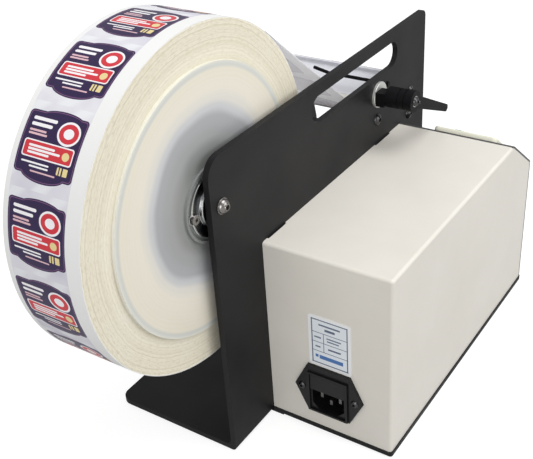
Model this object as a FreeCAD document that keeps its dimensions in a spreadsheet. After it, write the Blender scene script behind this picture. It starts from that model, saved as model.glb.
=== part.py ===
"""Label dispenser: a steel side plate that carries a roll of labels, the label path and a box with the drive.

X runs from the box (minus) through the side plate to the roll (plus). Y runs from the operator's side (minus)
to the rear (plus). Z is up. The origin lies on the table, under the box face of the side plate and the rear
face of the box. All lengths are in millimetres. In the names, a length that ends in _ahead is a place in
front of the box's rear face, _back is a place behind it, and _up is a place above the table.
"""
import FreeCAD, Part

import math
import os
from types import SimpleNamespace

import Sketcher
from FreeCAD import Placement, Rotation, Vector

LENGTHS = {
    # clearances and cuts
    "overrun": 2.0,
    "run_gap": 0.3,
    "fit_gap": 0.05,
    "edge_break": 0.4,
    # side plate and foot
    "pad_thick": 1.0,
    "pad_size": 16.0,
    "pad_inset": 7.0,
    "plate_thick": 4.0,
    "plate_top_rim": 7.95,
    "plate_rear_back": 47.4,
    "plate_front_ahead": 235.5,
    "plate_rear_round": 13.0,
    "plate_front_round": 5.5,
    "foot_width": 102.6,
    "foot_round": 8.0,
    "bend_inner": 3.0,
    "bend_outer": 3.5,
    "handle_up": 203.2,
    "handle_height": 18.7,
    "handle_rear_ahead": 65.5,
    "handle_front_ahead": 188.0,
    # box
    "tray_thick": 3.2,
    "tray_lip": 0.8,
    "tray_round": 2.0,
    "tray_flange_height": 20.0,
    "tray_flange_thick": 2.0,
    "tray_screw_up": 15.0,
    "box_width": 92.0,
    "box_length": 234.8,
    "box_height": 137.7,
    "slope_run": 39.8,
    "slope_drop": 30.2,
    "cover_wall": 1.2,
    "cover_round": 2.2,
    "relief_depth": 1.2,
    "relief_rear_ahead": 5.7,
    "relief_rear_length": 21.7,
    "relief_front_ahead": 152.0,
    "relief_front_length": 23.6,
    "panel_thick": 1.5,
    "panel_round": 2.5,
    # rating plate on the rear face
    "rating_width": 31.4,
    "rating_height": 41.0,
    "rating_thick": 0.3,
    "rating_round": 2.0,
    "rating_from_plate": 47.4,
    "rating_up": 77.5,
    # mains inlet
    "inlet_from_plate": 46.5,
    "inlet_up": 37.5,
    "inlet_flange_width": 51.0,
    "inlet_flange_flat": 32.0,
    "inlet_flange_height": 38.0,
    "inlet_flange_thick": 2.8,
    "inlet_body_width": 28.0,
    "inlet_body_height": 32.0,
    "inlet_body_drop": 2.0,
    "inlet_body_depth": 28.0,
    "inlet_rim_width": 30.0,
    "inlet_rim_height": 33.0,
    "inlet_rim_drop": 2.1,
    "inlet_rim_wall": 1.4,
    "inlet_rim_rise": 1.4,
    "socket_width": 24.0,
    "socket_height": 16.0,
    "socket_corner": 5.0,
    "socket_depth": 17.0,
    "socket_drop": 8.6,
    "drawer_width": 22.0,
    "drawer_height": 10.0,
    "drawer_depth": 22.0,
    "drawer_rise": 6.4,
    "drawer_front_width": 26.4,
    "drawer_front_height": 11.8,
    "drawer_lip": 0.8,
    "fuse_bed_radius": 3.0,
    "pin_wide": 2.0,
    "pin_high": 4.0,
    "pin_reach": 13.0,
    "pin_spacing": 14.0,
    "pin_rise": 2.0,
    "earth_drop": 2.0,
    "inlet_screw_spacing": 40.0,
    # screws
    "screw_head_radius": 4.6,
    "screw_head_height": 2.2,
    "screw_radius": 2.0,
    "screw_bite": 8.0,
    "tie_head_radius": 3.5,
    "small_head_radius": 2.8,
    "small_head_height": 1.6,
    "small_screw_radius": 1.4,
    "small_screw_bite": 5.0,
    # spindle and roll
    "spindle_back": 36.8,
    "spindle_up": 187.8,
    "spindle_radius": 6.0,
    "spindle_head_radius": 16.0,
    "spindle_head_length": 4.0,
    "spindle_screw_head_radius": 4.6,
    "spindle_screw_head_height": 3.2,
    "spindle_screw_radius": 3.0,
    "washer_radius": 5.2,
    "washer_thick": 0.8,
    "collar_radius": 22.6,
    "collar_screw_radius": 3.6,
    "collar_screw_shank": 1.8,
    "collar_screw_depth": 2.6,
    "collar_screw_circle": 18.5,
    "disc_radius": 83.0,
    "disc_thick": 2.0,
    "disc_lip_inner": 22.9,
    "disc_lip_outer": 24.6,
    "disc_lip_height": 1.4,
    "roll_from_plate": 10.3,
    "roll_width": 54.3,
    "roll_radius": 106.4,
    "core_outer_radius": 50.8,
    "core_inner_radius": 46.5,
    "hub_rim_wall": 2.5,
    "hub_web_thick": 2.5,
    "hub_sleeve_radius": 18.0,
    "hub_sleeve_reach": 27.0,
    "hub_rib_thick": 3.0,
    "bearing_radius": 14.0,
    "bearing_width": 8.0,
    "bearing_inset": 4.0,
    "outer_disc_thick": 2.5,
    "outer_boss_radius": 26.0,
    "outer_boss_length": 10.0,
    "lock_radius": 25.0,
    "lock_length": 10.0,
    "thumb_radius": 4.8,
    "thumb_height": 7.0,
    "thumb_screw_radius": 2.5,
    # label path
    "web_thick": 0.3,
    "web_gap": 0.25,
    "guide_radius": 6.0,
    "guide_ahead": 157.2,
    "guide_up": 169.3,
    "guide_from_plate": 9.6,
    "guide_length": 56.0,
    "guide_axle_radius": 2.0,
    "guide_head_radius": 3.4,
    "guide_head_length": 1.6,
    "crest_radius": 8.0,
    "crest_ahead": 200.0,
    "crest_top_up": 179.8,
    "platform_thick": 1.5,
    "platform_width": 95.0,
    "platform_rear_ahead": 171.0,
    "platform_rear_lip": 6.0,
    "platform_bend": 2.0,
    "nose_radius": 1.8,
    "nose_ahead": 241.0,
    "nose_up": 147.5,
    "nose_return": 13.0,
    "nose_return_drop": 4.0,
    "flange_thick": 2.0,
    "flange_rear_ahead": 149.5,
    "flange_rear_top_up": 175.0,
    "flange_low_up": 137.0,
    "flange_low_rear_ahead": 199.0,
    "flange_low_front_ahead": 214.0,
    "sensor_slot_width": 5.0,
    "sensor_slot_length": 70.0,
    "tail_end_up": 24.0,
    "presented_reach": 7.0,
    "presented_length": 41.0,
    "presented_thick": 0.2,
    "label_width": 40.5,
    "label_margin": 10.2,
    # places in the side plate of what holds the label path
    "flange_screw_ahead": 156.5,
    "flange_screw_up": 160.9,
    "hold_rod_ahead": 172.6,
    "hold_rod_up": 182.9,
    "hold_rod_radius": 1.3,
    "hold_rod_head_radius": 2.0,
    "hold_rod_head_height": 1.0,
    "hold_rod_reach": 50.0,
    "hold_rod_tip": 13.0,
    "hold_rod_tip_rise": 2.5,
    "tie_bar_ahead": 211.7,
    "tie_bar_up": 162.9,
    "tie_bar_radius": 3.0,
    "low_bar_ahead": 226.0,
    "low_bar_up": 100.0,
    "pinch_pivot_ahead": 209.2,
    "pinch_pivot_up": 144.3,
    # drive and pinch rollers
    "drive_ahead": 200.0,
    "drive_up": 112.0,
    "drive_radius": 12.0,
    "drive_core_radius": 8.0,
    "drive_core_from_plate": 6.5,
    "drive_journal_radius": 4.0,
    "drive_shaft_radius": 3.0,
    "drive_shaft_reach": 18.0,
    "sleeve_from_plate": 10.0,
    "sleeve_from_end": 5.0,
    "pinch_radius": 8.0,
    "pinch_axle_radius": 3.0,
    "pinch_rod_radius": 4.0,
    "arm_thick": 2.5,
    "arm_half": 5.5,
    "tab_radius": 2.0,
    "tab_ahead": 221.0,
    "tab_up": 147.5,
    "spring_wire_radius": 0.5,
    "spring_coil_radius": 5.0,
    "spring_pitch": 1.7,
    "spring_leg": 9.0,
    "end_plate_thick": 3.0,
    "end_plate_margin": 7.0,
    # label sensor
    "sensor_width": 14.0,
    "sensor_half_length": 7.5,
    "sensor_below": 6.5,
    "sensor_above": 4.4,
    "sensor_front_drop": 0.9,
    "sensor_from_plate": 31.0,
    # lever and hold-down flap
    "lever_ahead": 158.0,
    "lever_up": 180.3,
    "lever_shaft_radius": 4.0,
    "lever_bush_radius": 8.0,
    "lever_bush_flange_radius": 9.6,
    "lever_bush_flange_thick": 2.0,
    "lever_hub_radius": 7.7,
    "lever_hub_length": 22.2,
    "lever_neck_radius": 5.2,
    "lever_neck_length": 6.6,
    "lever_stop_reach": 9.0,
    "lever_hub_groove": 0.6,
    "lever_hub_groove_width": 0.9,
    "lever_ring_radius": 8.0,
    "lever_thick": 5.0,
    "lever_tip_ahead": 55.5,
    "lever_tip_drop": 27.6,
    "lever_root_half": 4.8,
    "lever_tip_half": 2.9,
    "lever_screw_spacing": 7.8,
    "side_screw_radius": 1.0,
    "side_screw_head_radius": 1.4,
    "side_screw_head_height": 0.8,
    "side_screw_bite": 3.0,
    "flap_gap": 1.6,
    "flap_thick": 1.2,
    "flap_lip": 1.5,
    "flap_bend": 1.6,
    "flap_rear_ahead": 170.0,
    "flap_front_ahead": 192.0,
    "flap_arm_half": 3.0,
    "flap_eye_radius": 6.0,
    # gear motor
    "gearbox_radius": 18.5,
    "gearbox_length": 24.0,
    "gearbox_offset": 7.0,
    "gearbox_boss_radius": 7.5,
    "gearbox_screw_circle": 15.0,
    "motor_radius": 17.0,
    "motor_length": 34.0,
    "motor_cap_radius": 8.0,
    "motor_cap_length": 3.0,
    # electronics
    "supply_width": 82.0,
    "supply_length": 99.0,
    "supply_height": 30.0,
    "supply_ahead": 36.0,
    "supply_from_plate": 4.0,
    "supply_wall": 1.5,
    "board_length": 90.0,
    "board_height": 62.0,
    "board_thick": 1.6,
    "board_ahead": 42.0,
    "board_up": 52.0,
    "board_post_length": 8.0,
    "board_post_radius": 3.0,
    "board_post_inset": 5.0,
    "board_chip_height": 3.0,
    "board_can_radius": 6.0,
    "board_can_height": 14.0,
    "board_plug_height": 9.0,
    # control panel on the slope
    "bezel_width": 50.0,
    "bezel_length": 38.0,
    "bezel_thick": 4.0,
    "bezel_wall": 1.5,
    "bezel_from_plate": 26.5,
    "bezel_start": 3.0,
    "bezel_corner": 3.5,
    "bezel_round": 1.2,
    "button_radius": 6.0,
    "button_flange": 1.2,
    "button_flange_thick": 0.8,
    "button_rise": 2.4,
    "lens_radius": 2.5,
    "lens_rise": 1.0,
    # switch and knob on the front face
    "rocker_width": 13.0,
    "rocker_height": 19.0,
    "rocker_rim": 1.8,
    "rocker_rim_thick": 1.6,
    "rocker_depth": 14.0,
    "rocker_wall": 1.3,
    "rocker_axis_depth": 5.0,
    "rocker_body": 4.0,
    "rocker_rise": 2.6,
    "rocker_play": 1.5,
    "rocker_pin_radius": 1.5,
    "rocker_pin_reach": 1.2,
    "rocker_from_plate": 28.0,
    "rocker_up": 84.0,
    "knob_radius": 9.0,
    "knob_length": 12.0,
    "knob_groove": 0.8,
    "knob_from_plate": 62.0,
    "knob_up": 84.0,
    "pot_radius": 8.0,
    "pot_depth": 9.0,
    "pot_bush_radius": 4.5,
    "pot_bush_length": 4.0,
    "pot_shaft_radius": 3.0,
    "pot_shaft_length": 6.0,
}

# Directions, counts and places that are shares of the pieces that they lie on.
TRAY_SCREW_SHARES = (0.1, 0.37, 0.63, 0.9)
HUB_GROOVE_SHARES = (0.7, 0.92)
BUTTON_SHARE = 0.3
LENS_SHARE = 0.72
LENS_DOME_SHARE = 0.5
SOCKET_SHARE = 0.7
SOCKET_DEPTH_SHARE = 0.4
HEAD_TOP_SHARE = 0.55
HEAD_SHOULDER_SHARES = (0.7, 0.85)
HEAD_EDGE_SHARE = 0.25
SUNK_SOCKET_SHARE = 0.5
SUNK_SOCKET_DEPTH_SHARE = 0.6
ROCKER_FOOT_SHARE = 0.8
CAN_SHARES = (0.25, 0.45)
CAN_UP_SHARE = 0.72
CHIP_SIZE_SHARES = (0.2, 0.3)
CHIP_PLACE_SHARES = (0.8, 0.25)
PLUG_LENGTH_SHARE = 0.4
PLUG_END_SHARE = 0.55
HUB_RIB_ANGLES = (0, 60, 120, 180, 240, 300)
COLLAR_SCREW_ANGLES = (-4, 116, 236)
GEARBOX_SCREW_ANGLES = (30, 150, 270)
NIP_ANGLE = 45
SPRING_TURNS = 5
SPRING_STEPS = 4
SPRING_SAMPLES = 600
ROCKER_TILT = 8
THUMB_SCREW_ANGLE = 70

doc = FreeCAD.newDocument("label_dispenser")
sheet = doc.addObject("Spreadsheet::Sheet", "Sizes")
for row, (cell_name, cell_value) in enumerate(LENGTHS.items(), start=1):
    sheet.set(f"A{row}", cell_name)
    sheet.set(f"B{row}", str(cell_value))
    sheet.setAlias(f"B{row}", cell_name)
doc.recompute()


class Size:
    """A length with its value in mm and the sheet formula that gives it."""

    def __init__(self, value, text):
        self.value = value
        self.text = text

    def __add__(self, other):
        return Size(self.value + other.value, f"({self.text} + {other.text})")

    def __sub__(self, other):
        return Size(self.value - other.value, f"({self.text} - {other.text})")

    def __neg__(self):
        return Size(-self.value, f"(-1 * {self.text})")

    def __mul__(self, factor):
        if isinstance(factor, Size):
            return Size(self.value * factor.value, f"({self.text} * {factor.text})")
        return Size(self.value * factor, f"({self.text} * ({factor:.12f}))")

    def __truediv__(self, divisor):
        if isinstance(divisor, Size):
            return Size(self.value / divisor.value, f"({self.text} / {divisor.text})")
        return Size(self.value / divisor, f"({self.text} / {divisor})")


def long_side(first, second):
    """The slanting side over two lengths that are square to each other."""
    return Size(math.hypot(first.value, second.value), f"sqrt({first.text}^2 + {second.text}^2)")


def round_about(middle, radius, angle):
    """The place (y, z) at an angle on a circle about a place."""
    turn = math.radians(angle)
    return middle[0] + radius * math.cos(turn), middle[1] + radius * math.sin(turn)


ZERO = Size(0.0, "0")
S = SimpleNamespace(**{name: Size(float(sheet.get(name)), f"Sizes.{name}") for name in LENGTHS})
NODES = {}

# Places that more than one piece needs.
box_bottom = S.pad_thick + S.tray_thick
box_top = box_bottom + S.box_height
slope_long = long_side(S.slope_run, S.slope_drop)
slope_up_share = S.slope_drop / slope_long
slope_ahead_share = S.slope_run / slope_long
slope_top_ahead = S.box_length - S.slope_run
slope_low_up = box_top - S.slope_drop
roll_far = S.roll_from_plate + S.roll_width
sleeve_far = roll_far + S.hub_sleeve_reach
disc_near = S.roll_from_plate - S.disc_thick
platform_far = S.plate_thick + S.platform_width
end_plate_near = platform_far + S.run_gap
nip = S.drive_radius + S.pinch_radius + S.web_thick + S.web_gap * 2
arm_near = S.plate_thick + S.flange_thick + S.run_gap
arm_far = platform_far - S.flange_thick - S.run_gap - S.arm_thick
bush_near = S.lever_bush_flange_thick + S.run_gap
lever_near = bush_near + S.lever_hub_length + S.fit_gap

# Places (y, z) of the axes that run along X.
spindle_axis = (S.spindle_back, S.spindle_up)
lever_axis = (-S.lever_ahead, S.lever_up)
guide_axis = (-S.guide_ahead, S.guide_up)
tie_axis = (-S.tie_bar_ahead, S.tie_bar_up)
low_axis = (-S.low_bar_ahead, S.low_bar_up)
pivot_axis = (-S.pinch_pivot_ahead, S.pinch_pivot_up)
drive_axis = (-S.drive_ahead, S.drive_up)
pinch_axis = round_about(drive_axis, nip, NIP_ANGLE)
tab_axis = (-S.tab_ahead, S.tab_up)
gearbox_axis = (-S.drive_ahead, S.drive_up - S.gearbox_offset)
flange_screw_place = (-S.flange_screw_ahead, S.flange_screw_up)
hold_rod_axis = (-S.hold_rod_ahead, S.hold_rod_up)

ALONG_X = Rotation()
AGAINST_X = Rotation(Vector(0, 0, 1), 180)
ALONG_Y = Rotation(Vector(0, 0, 1), 90)
AGAINST_Y = Rotation(Vector(0, 0, 1), -90)
SLOPE_ANGLE = math.degrees(math.atan2(S.slope_drop.value, S.slope_run.value))
ON_SLOPE = Rotation(Vector(1, 0, 0), SLOPE_ANGLE)
OUT_OF_SLOPE = ON_SLOPE.multiply(Rotation(Vector(0, 1, 0), -90))


def keep(name, thing):
    """Give a sub-part its label and list it among those that are written."""
    thing.Label = name
    NODES[name] = thing
    return thing


def seat(thing, x=None, y=None, z=None, turn=None):
    """Place a piece, with each given coordinate bound to the sheet."""
    if turn is not None:
        thing.Placement = Placement(Vector(0, 0, 0), turn)
    for axis, size in (("x", x), ("y", y), ("z", z)):
        if size is not None:
            thing.setExpression(f"Placement.Base.{axis}", size.text)
    return thing


def new_sketch(body, role, name):
    """A sketch on one of the body's own origin planes."""
    plane = next(item for item in body.Origin.OriginFeatures if item.Role == role)
    sketch = body.newObject("Sketcher::SketchObject", name)
    sketch.AttachmentSupport = [(plane, "")]
    sketch.MapMode = "FlatFace"
    return sketch


def hold(sketch, kind, link, size):
    index = sketch.addConstraint(Sketcher.Constraint(kind, *link, size.value))
    sketch.setExpression(f"Constraints[{index}]", size.text)


def draw_outline(sketch, corners):
    """A closed straight outline with every corner held across and up from the origin."""
    first = sketch.GeometryCount
    for start, end in zip(corners, corners[1:] + corners[:1]):
        ends = [Vector(across.value, up.value, 0) for across, up in (start, end)]
        sketch.addGeometry(Part.LineSegment(*ends), False)
    for index in range(len(corners)):
        following = first + (index + 1) % len(corners)
        sketch.addConstraint(Sketcher.Constraint("Coincident", first + index, 2, following, 1))
    for index, (across, up) in enumerate(corners):
        hold(sketch, "DistanceX", (-1, 1, first + index, 1), across)
        hold(sketch, "DistanceY", (-1, 1, first + index, 1), up)


def draw_circle(sketch, place, radius):
    centre = Vector(place[0].value, place[1].value, 0)
    index = sketch.addGeometry(Part.Circle(centre, Vector(0, 0, 1), radius.value), False)
    hold(sketch, "DistanceX", (-1, 1, index, 3), place[0])
    hold(sketch, "DistanceY", (-1, 1, index, 3), place[1])
    hold(sketch, "Radius", (index,), radius)


def add_pad(body, sketch, length, back=False):
    pad = body.newObject("PartDesign::Pad", f"{sketch.Name}_pad")
    pad.Profile = sketch
    pad.Reversed = back
    pad.setExpression("Length", length.text)
    doc.recompute()
    return pad


def add_pocket(body, sketch, depth, back=False):
    """Cut a pocket and make sure that it took something away."""
    before = body.Shape.Volume
    pocket = body.newObject("PartDesign::Pocket", f"{sketch.Name}_cut")
    pocket.Profile = sketch
    pocket.Reversed = back
    pocket.setExpression("Length", depth.text)
    doc.recompute()
    if body.Shape.Volume >= before:
        raise RuntimeError(f"{pocket.Name} cuts nothing")
    return pocket


def straight_edges(shape, spot):
    """Names of the straight edges through a spot, along the axis for which the spot has None."""
    along = spot.index(None)
    names = []
    for index, edge in enumerate(shape.Edges, start=1):
        if edge.Degenerated or len(edge.Vertexes) != 2:
            continue
        ends = [vertex.Point for vertex in edge.Vertexes]
        off = [abs(end[k] - spot[k].value) for end in ends for k in range(3) if k != along]
        if max(off) < S.fit_gap.value:
            names.append(f"Edge{index}")
    return names


def round_edges(body, name, spots, radius):
    """Fillet the straight edges that pass through the given spots."""
    doc.recompute()
    base = body.Tip
    names = []
    for spot in spots:
        found = straight_edges(base.Shape, spot)
        if not found:
            raise RuntimeError(f"{name} finds no edge")
        names += found
    fillet = body.newObject("PartDesign::Fillet", name)
    fillet.Base = (base, names)
    fillet.setExpression("Radius", radius.text)
    doc.recompute()
    return fillet


def side_plate(name, near, thick, outline, holes=()):
    """A flat plate square to X, from near, with an outline and round holes given as (place, radius)."""
    body = doc.addObject("PartDesign::Body", name)
    sketch = new_sketch(body, "YZ_Plane", f"{name}_outline")
    draw_outline(sketch, outline)
    for place, radius in holes:
        draw_circle(sketch, place, radius)
    add_pad(body, sketch, thick)
    return seat(body, x=near)


def wall_plate(name, rear, thick, outline, holes=()):
    """A flat plate square to Y, forward from rear, with an outline and round holes in (x, z)."""
    body = doc.addObject("PartDesign::Body", name)
    sketch = new_sketch(body, "XZ_Plane", f"{name}_outline")
    draw_outline(sketch, outline)
    for place, radius in holes:
        draw_circle(sketch, place, radius)
    add_pad(body, sketch, thick)
    return seat(body, y=rear)


def rectangle(left, right, low, high):
    return [(left, low), (right, low), (right, high), (left, high)]


def around(place, wide, high):
    """A rectangle about a place."""
    return rectangle(place[0] - wide / 2, place[0] + wide / 2, place[1] - high / 2, place[1] + high / 2)


def turned(name, outline, x, place, turn=ALONG_X):
    """A turned piece: an outline of (along, radius) spun round its own axis, from x and place (y, z)."""
    body = doc.addObject("PartDesign::Body", name)
    sketch = new_sketch(body, "XY_Plane", f"{name}_outline")
    draw_outline(sketch, outline)
    spin = body.newObject("PartDesign::Revolution", f"{name}_turn")
    spin.Profile = sketch
    spin.ReferenceAxis = (sketch, ["H_Axis"])
    spin.Angle = 360
    return seat(body, x, place[0], place[1], turn)


def ring(name, length, outer, inner, x, place, turn=ALONG_X):
    outline = [(ZERO, inner), (length, inner), (length, outer), (ZERO, outer)]
    return turned(name, outline, x, place, turn)


def tapped_rod(name, length, radius, x, place):
    """A round rod along X with a tapped hole in each end for a screw."""
    bore = S.screw_radius + S.fit_gap
    depth = S.screw_bite + S.run_gap
    outline = [
        (ZERO, bore), (depth, bore), (depth, ZERO), (length - depth, ZERO), (length - depth, bore),
        (length, bore), (length, radius), (ZERO, radius),
    ]
    return turned(name, outline, x, place)


def block(name, wide, long, high, x, y, z, turn=None):
    box = doc.addObject("Part::Box", name)
    box.setExpression("Length", wide.text)
    box.setExpression("Width", long.text)
    box.setExpression("Height", high.text)
    return seat(box, x, y, z, turn)


def drill(name, radius, length, x, place, turn=ALONG_X):
    """A plain cylinder along the turned X axis, used as a cutter or a boss."""
    cylinder = doc.addObject("Part::Cylinder", name)
    cylinder.setExpression("Radius", radius.text)
    cylinder.setExpression("Height", length.text)
    return seat(cylinder, x, place[0], place[1], turn.multiply(Rotation(Vector(0, 1, 0), 90)))


def through(name, radius, near, thick, place):
    """A cutter for a round hole right through a plate square to X."""
    return drill(name, radius, thick + S.overrun * 2, near - S.overrun, place)


def fused(name, pieces):
    fuse = doc.addObject("Part::MultiFuse", name)
    fuse.Shapes = pieces
    fuse.Refine = True
    return fuse


def cut_from(name, base, cutters):
    cut = doc.addObject("Part::Cut", name)
    cut.Base = base
    cut.Tool = cutters[0] if len(cutters) == 1 else fused(f"{name}_cutters", cutters)
    cut.Refine = True
    return cut


def group(name, pieces):
    """Like pieces that share one node, each a solid of its own."""
    compound = doc.addObject("Part::Compound", f"{name}_group")
    compound.Links = pieces
    return keep(name, compound)


def button_screw(name, head_radius, head_height, radius, length, x, place, turn=ALONG_X):
    """A button-head screw with its shank along the turned X axis and its head behind the start."""
    socket, socket_end = radius * SOCKET_SHARE, -(head_height * SOCKET_DEPTH_SHARE)
    shoulder_up, shoulder_out = HEAD_SHOULDER_SHARES
    outline = [
        (socket_end, ZERO), (socket_end, socket), (-head_height, socket),
        (-head_height, head_radius * HEAD_TOP_SHARE),
        (-(head_height * shoulder_up), head_radius * shoulder_out),
        (-(head_height * HEAD_EDGE_SHARE), head_radius), (ZERO, head_radius), (ZERO, radius),
        (length - S.edge_break, radius), (length, radius - S.edge_break), (length, ZERO),
    ]
    return turned(name, outline, x, place, turn)


def link_bar(name, half, near, thick, first, second):
    """The pieces of a flat bar square to X with round ends about two places (y, z)."""
    run, rise = second[0] - first[0], second[1] - first[1]
    span = long_side(run, rise)
    side_y, side_z = half * (rise / span), half * (run / span)
    middle = side_plate(f"{name}_middle", near, thick, [
        (first[0] + side_y, first[1] - side_z), (second[0] + side_y, second[1] - side_z),
        (second[0] - side_y, second[1] + side_z), (first[0] - side_y, first[1] + side_z),
    ])
    ends = [drill(f"{name}_{end}", half, thick, near, place) for end, place in (("a", first), ("b", second))]
    return [middle] + ends


def feature(name, shape):
    piece = doc.addObject("Part::Feature", f"{name}_shape")
    piece.Shape = shape
    piece.Placement = Placement(Vector(0, 0, 0), Rotation())
    return piece


# The label path, seen from the box side. A point is (ahead, up). A turn is a centre and a signed radius: plus
# where the path bends to the left of its travel, minus where it bends to the right, zero for an end point.


def tangent_line(first, second):
    """End points of the straight run between two turns, with its direction and its left side."""
    (ahead_1, up_1, bend_1), (ahead_2, up_2, bend_2) = first, second
    span = math.hypot(ahead_2 - ahead_1, up_2 - up_1)
    heading = math.atan2(up_2 - up_1, ahead_2 - ahead_1) - math.asin((bend_2 - bend_1) / span)
    along, left = (math.cos(heading), math.sin(heading)), (-math.sin(heading), math.cos(heading))
    start = (ahead_1 - bend_1 * left[0], up_1 - bend_1 * left[1])
    end = (ahead_2 - bend_2 * left[0], up_2 - bend_2 * left[1])
    return start, end, along, left


def moved(point, *steps):
    """A point moved by several (direction, distance) steps."""
    ahead = point[0] + sum(direction[0] * distance for direction, distance in steps)
    up = point[1] + sum(direction[1] * distance for direction, distance in steps)
    return ahead, up


def spot_at(point, near):
    return Vector(near, -point[0], point[1])


def turn_arc(turn, start, end, near):
    """The arc of a turn from start to end."""
    centre, bend = turn[:2], turn[2]
    first = math.atan2(start[1] - centre[1], start[0] - centre[0])
    last = math.atan2(end[1] - centre[1], end[0] - centre[0])
    if bend > 0 and last <= first:
        last += 2 * math.pi
    if bend < 0 and last >= first:
        last -= 2 * math.pi
    middle = (first + last) / 2
    reach = math.hypot(start[0] - centre[0], start[1] - centre[1])
    halfway = (centre[0] + reach * math.cos(middle), centre[1] + reach * math.sin(middle))
    return Part.Arc(spot_at(start, near), spot_at(halfway, near), spot_at(end, near)).toShape()


def side_edges(turns, shift, near):
    """Edges along the path, moved to its left by shift, with the first and last point."""
    lines = [tangent_line(*pair) for pair in zip(turns, turns[1:])]
    runs = [(moved(start, (left, shift)), moved(end, (left, shift))) for start, end, along, left in lines]
    edges = []
    for index, (start, end) in enumerate(runs):
        if index:
            edges.append(turn_arc(turns[index], runs[index - 1][1], start, near))
        edges.append(Part.LineSegment(spot_at(start, near), spot_at(end, near)).toShape())
    return edges, runs[0][0], runs[-1][1]


def strip(turns, thick, near, wide):
    """A bent sheet of even thickness along a path, from x = near."""
    left_edges, left_start, left_end = side_edges(turns, thick / 2, near)
    right_edges, right_start, right_end = side_edges(turns, -thick / 2, near)
    caps = [
        Part.LineSegment(spot_at(left_end, near), spot_at(right_end, near)).toShape(),
        Part.LineSegment(spot_at(right_start, near), spot_at(left_start, near)).toShape(),
    ]
    loop = Part.Wire(Part.__sortEdges__(left_edges + right_edges + caps))
    return Part.Face(loop).extrude(Vector(wide, 0, 0))


def slab(points, near, thick):
    """A flat plate square to X through (ahead, up) points."""
    corners = [spot_at(point, near) for point in points]
    return Part.Face(Part.makePolygon(corners + corners[:1])).extrude(Vector(thick, 0, 0))


half_web = S.web_thick.value / 2
roller_off = S.web_gap.value + half_web
on_sheet = half_web + S.fit_gap.value
roll_turn = (-S.spindle_back.value, S.spindle_up.value, -(S.roll_radius.value + roller_off))
guide_turn = (S.guide_ahead.value, S.guide_up.value, S.guide_radius.value + roller_off)
crest_up = S.crest_top_up.value - S.crest_radius.value
crest_turn = (S.crest_ahead.value, crest_up, -(S.crest_radius.value + on_sheet))
nose_turn = (S.nose_ahead.value, S.nose_up.value, -(S.nose_radius.value + on_sheet))
drive_turn = (S.drive_ahead.value, S.drive_up.value, S.drive_radius.value + roller_off)
tail_end = (S.drive_ahead.value - S.drive_radius.value - roller_off, S.tail_end_up.value, 0.0)
off_roll = tangent_line(roll_turn, guide_turn)[0]
rise_line = tangent_line(guide_turn, crest_turn)
slope_line = tangent_line(crest_turn, nose_turn)


def on_rise(ahead):
    """The point of the rising web at a given place ahead."""
    start, end = rise_line[:2]
    share = (ahead - start[0]) / (end[0] - start[0])
    return ahead, start[1] + share * (end[1] - start[1])


def tray_screw_places():
    return [(-(S.box_length * share), S.tray_screw_up) for share in TRAY_SCREW_SHARES]


def gearbox_screw_places():
    return [round_about(gearbox_axis, S.gearbox_screw_circle, angle) for angle in GEARBOX_SCREW_ANGLES]


def board_post_places():
    rear, front = S.board_ahead + S.board_post_inset, S.board_ahead + S.board_length - S.board_post_inset
    low, high = S.board_up + S.board_post_inset, S.board_up + S.board_height - S.board_post_inset
    return [(-ahead, up) for ahead in (rear, front) for up in (low, high)]


def inlet_screw_places():
    half = S.inlet_screw_spacing / 2
    return [(-S.inlet_from_plate - half, S.inlet_up), (-S.inlet_from_plate + half, S.inlet_up)]


def make_frame():
    body = doc.addObject("PartDesign::Body", "main_frame")
    rear, front = S.plate_rear_back, -S.plate_front_ahead
    top = S.handle_up + S.handle_height / 2 + S.plate_top_rim
    foot_top = S.pad_thick + S.plate_thick
    plate = new_sketch(body, "YZ_Plane", "frame_plate")
    draw_outline(plate, rectangle(front, rear, S.pad_thick, top))
    add_pad(body, plate, S.plate_thick)
    foot = new_sketch(body, "YZ_Plane", "frame_foot")
    draw_outline(foot, rectangle(front, rear, S.pad_thick, foot_top))
    add_pad(body, foot, S.foot_width)
    round_edges(body, "frame_bend_inner", [(S.plate_thick, None, foot_top)], S.bend_inner)
    round_edges(body, "frame_bend_outer", [(ZERO, None, S.pad_thick)], S.bend_outer)
    round_edges(body, "frame_rear_round", [(None, rear, top)], S.plate_rear_round)
    round_edges(body, "frame_front_round", [(None, front, top)], S.plate_front_round)
    foot_corners = [(S.foot_width, rear, None), (S.foot_width, front, None)]
    round_edges(body, "frame_foot_rounds", foot_corners, S.foot_round)
    half = S.handle_height / 2
    slot_ends = (-(S.handle_front_ahead - half), -(S.handle_rear_ahead + half))
    slot = new_sketch(body, "YZ_Plane", "frame_slot")
    draw_outline(slot, rectangle(*slot_ends, S.handle_up - half, S.handle_up + half))
    add_pocket(body, slot, S.plate_thick, back=True)
    holes = new_sketch(body, "YZ_Plane", "frame_holes")
    for across in slot_ends:
        draw_circle(holes, (across, S.handle_up), half)
    draw_circle(holes, spindle_axis, S.spindle_screw_radius + S.fit_gap)
    draw_circle(holes, lever_axis, S.lever_bush_radius)
    draw_circle(holes, hold_rod_axis, S.hold_rod_radius)
    draw_circle(holes, drive_axis, S.gearbox_boss_radius + S.fit_gap)
    for place in (flange_screw_place, pivot_axis, tie_axis, low_axis):
        draw_circle(holes, place, S.screw_radius + S.fit_gap)
    for place in tray_screw_places() + gearbox_screw_places() + board_post_places():
        draw_circle(holes, place, S.small_screw_radius + S.fit_gap)
    add_pocket(body, holes, S.plate_thick, back=True)
    keep("main_frame", body)


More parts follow.
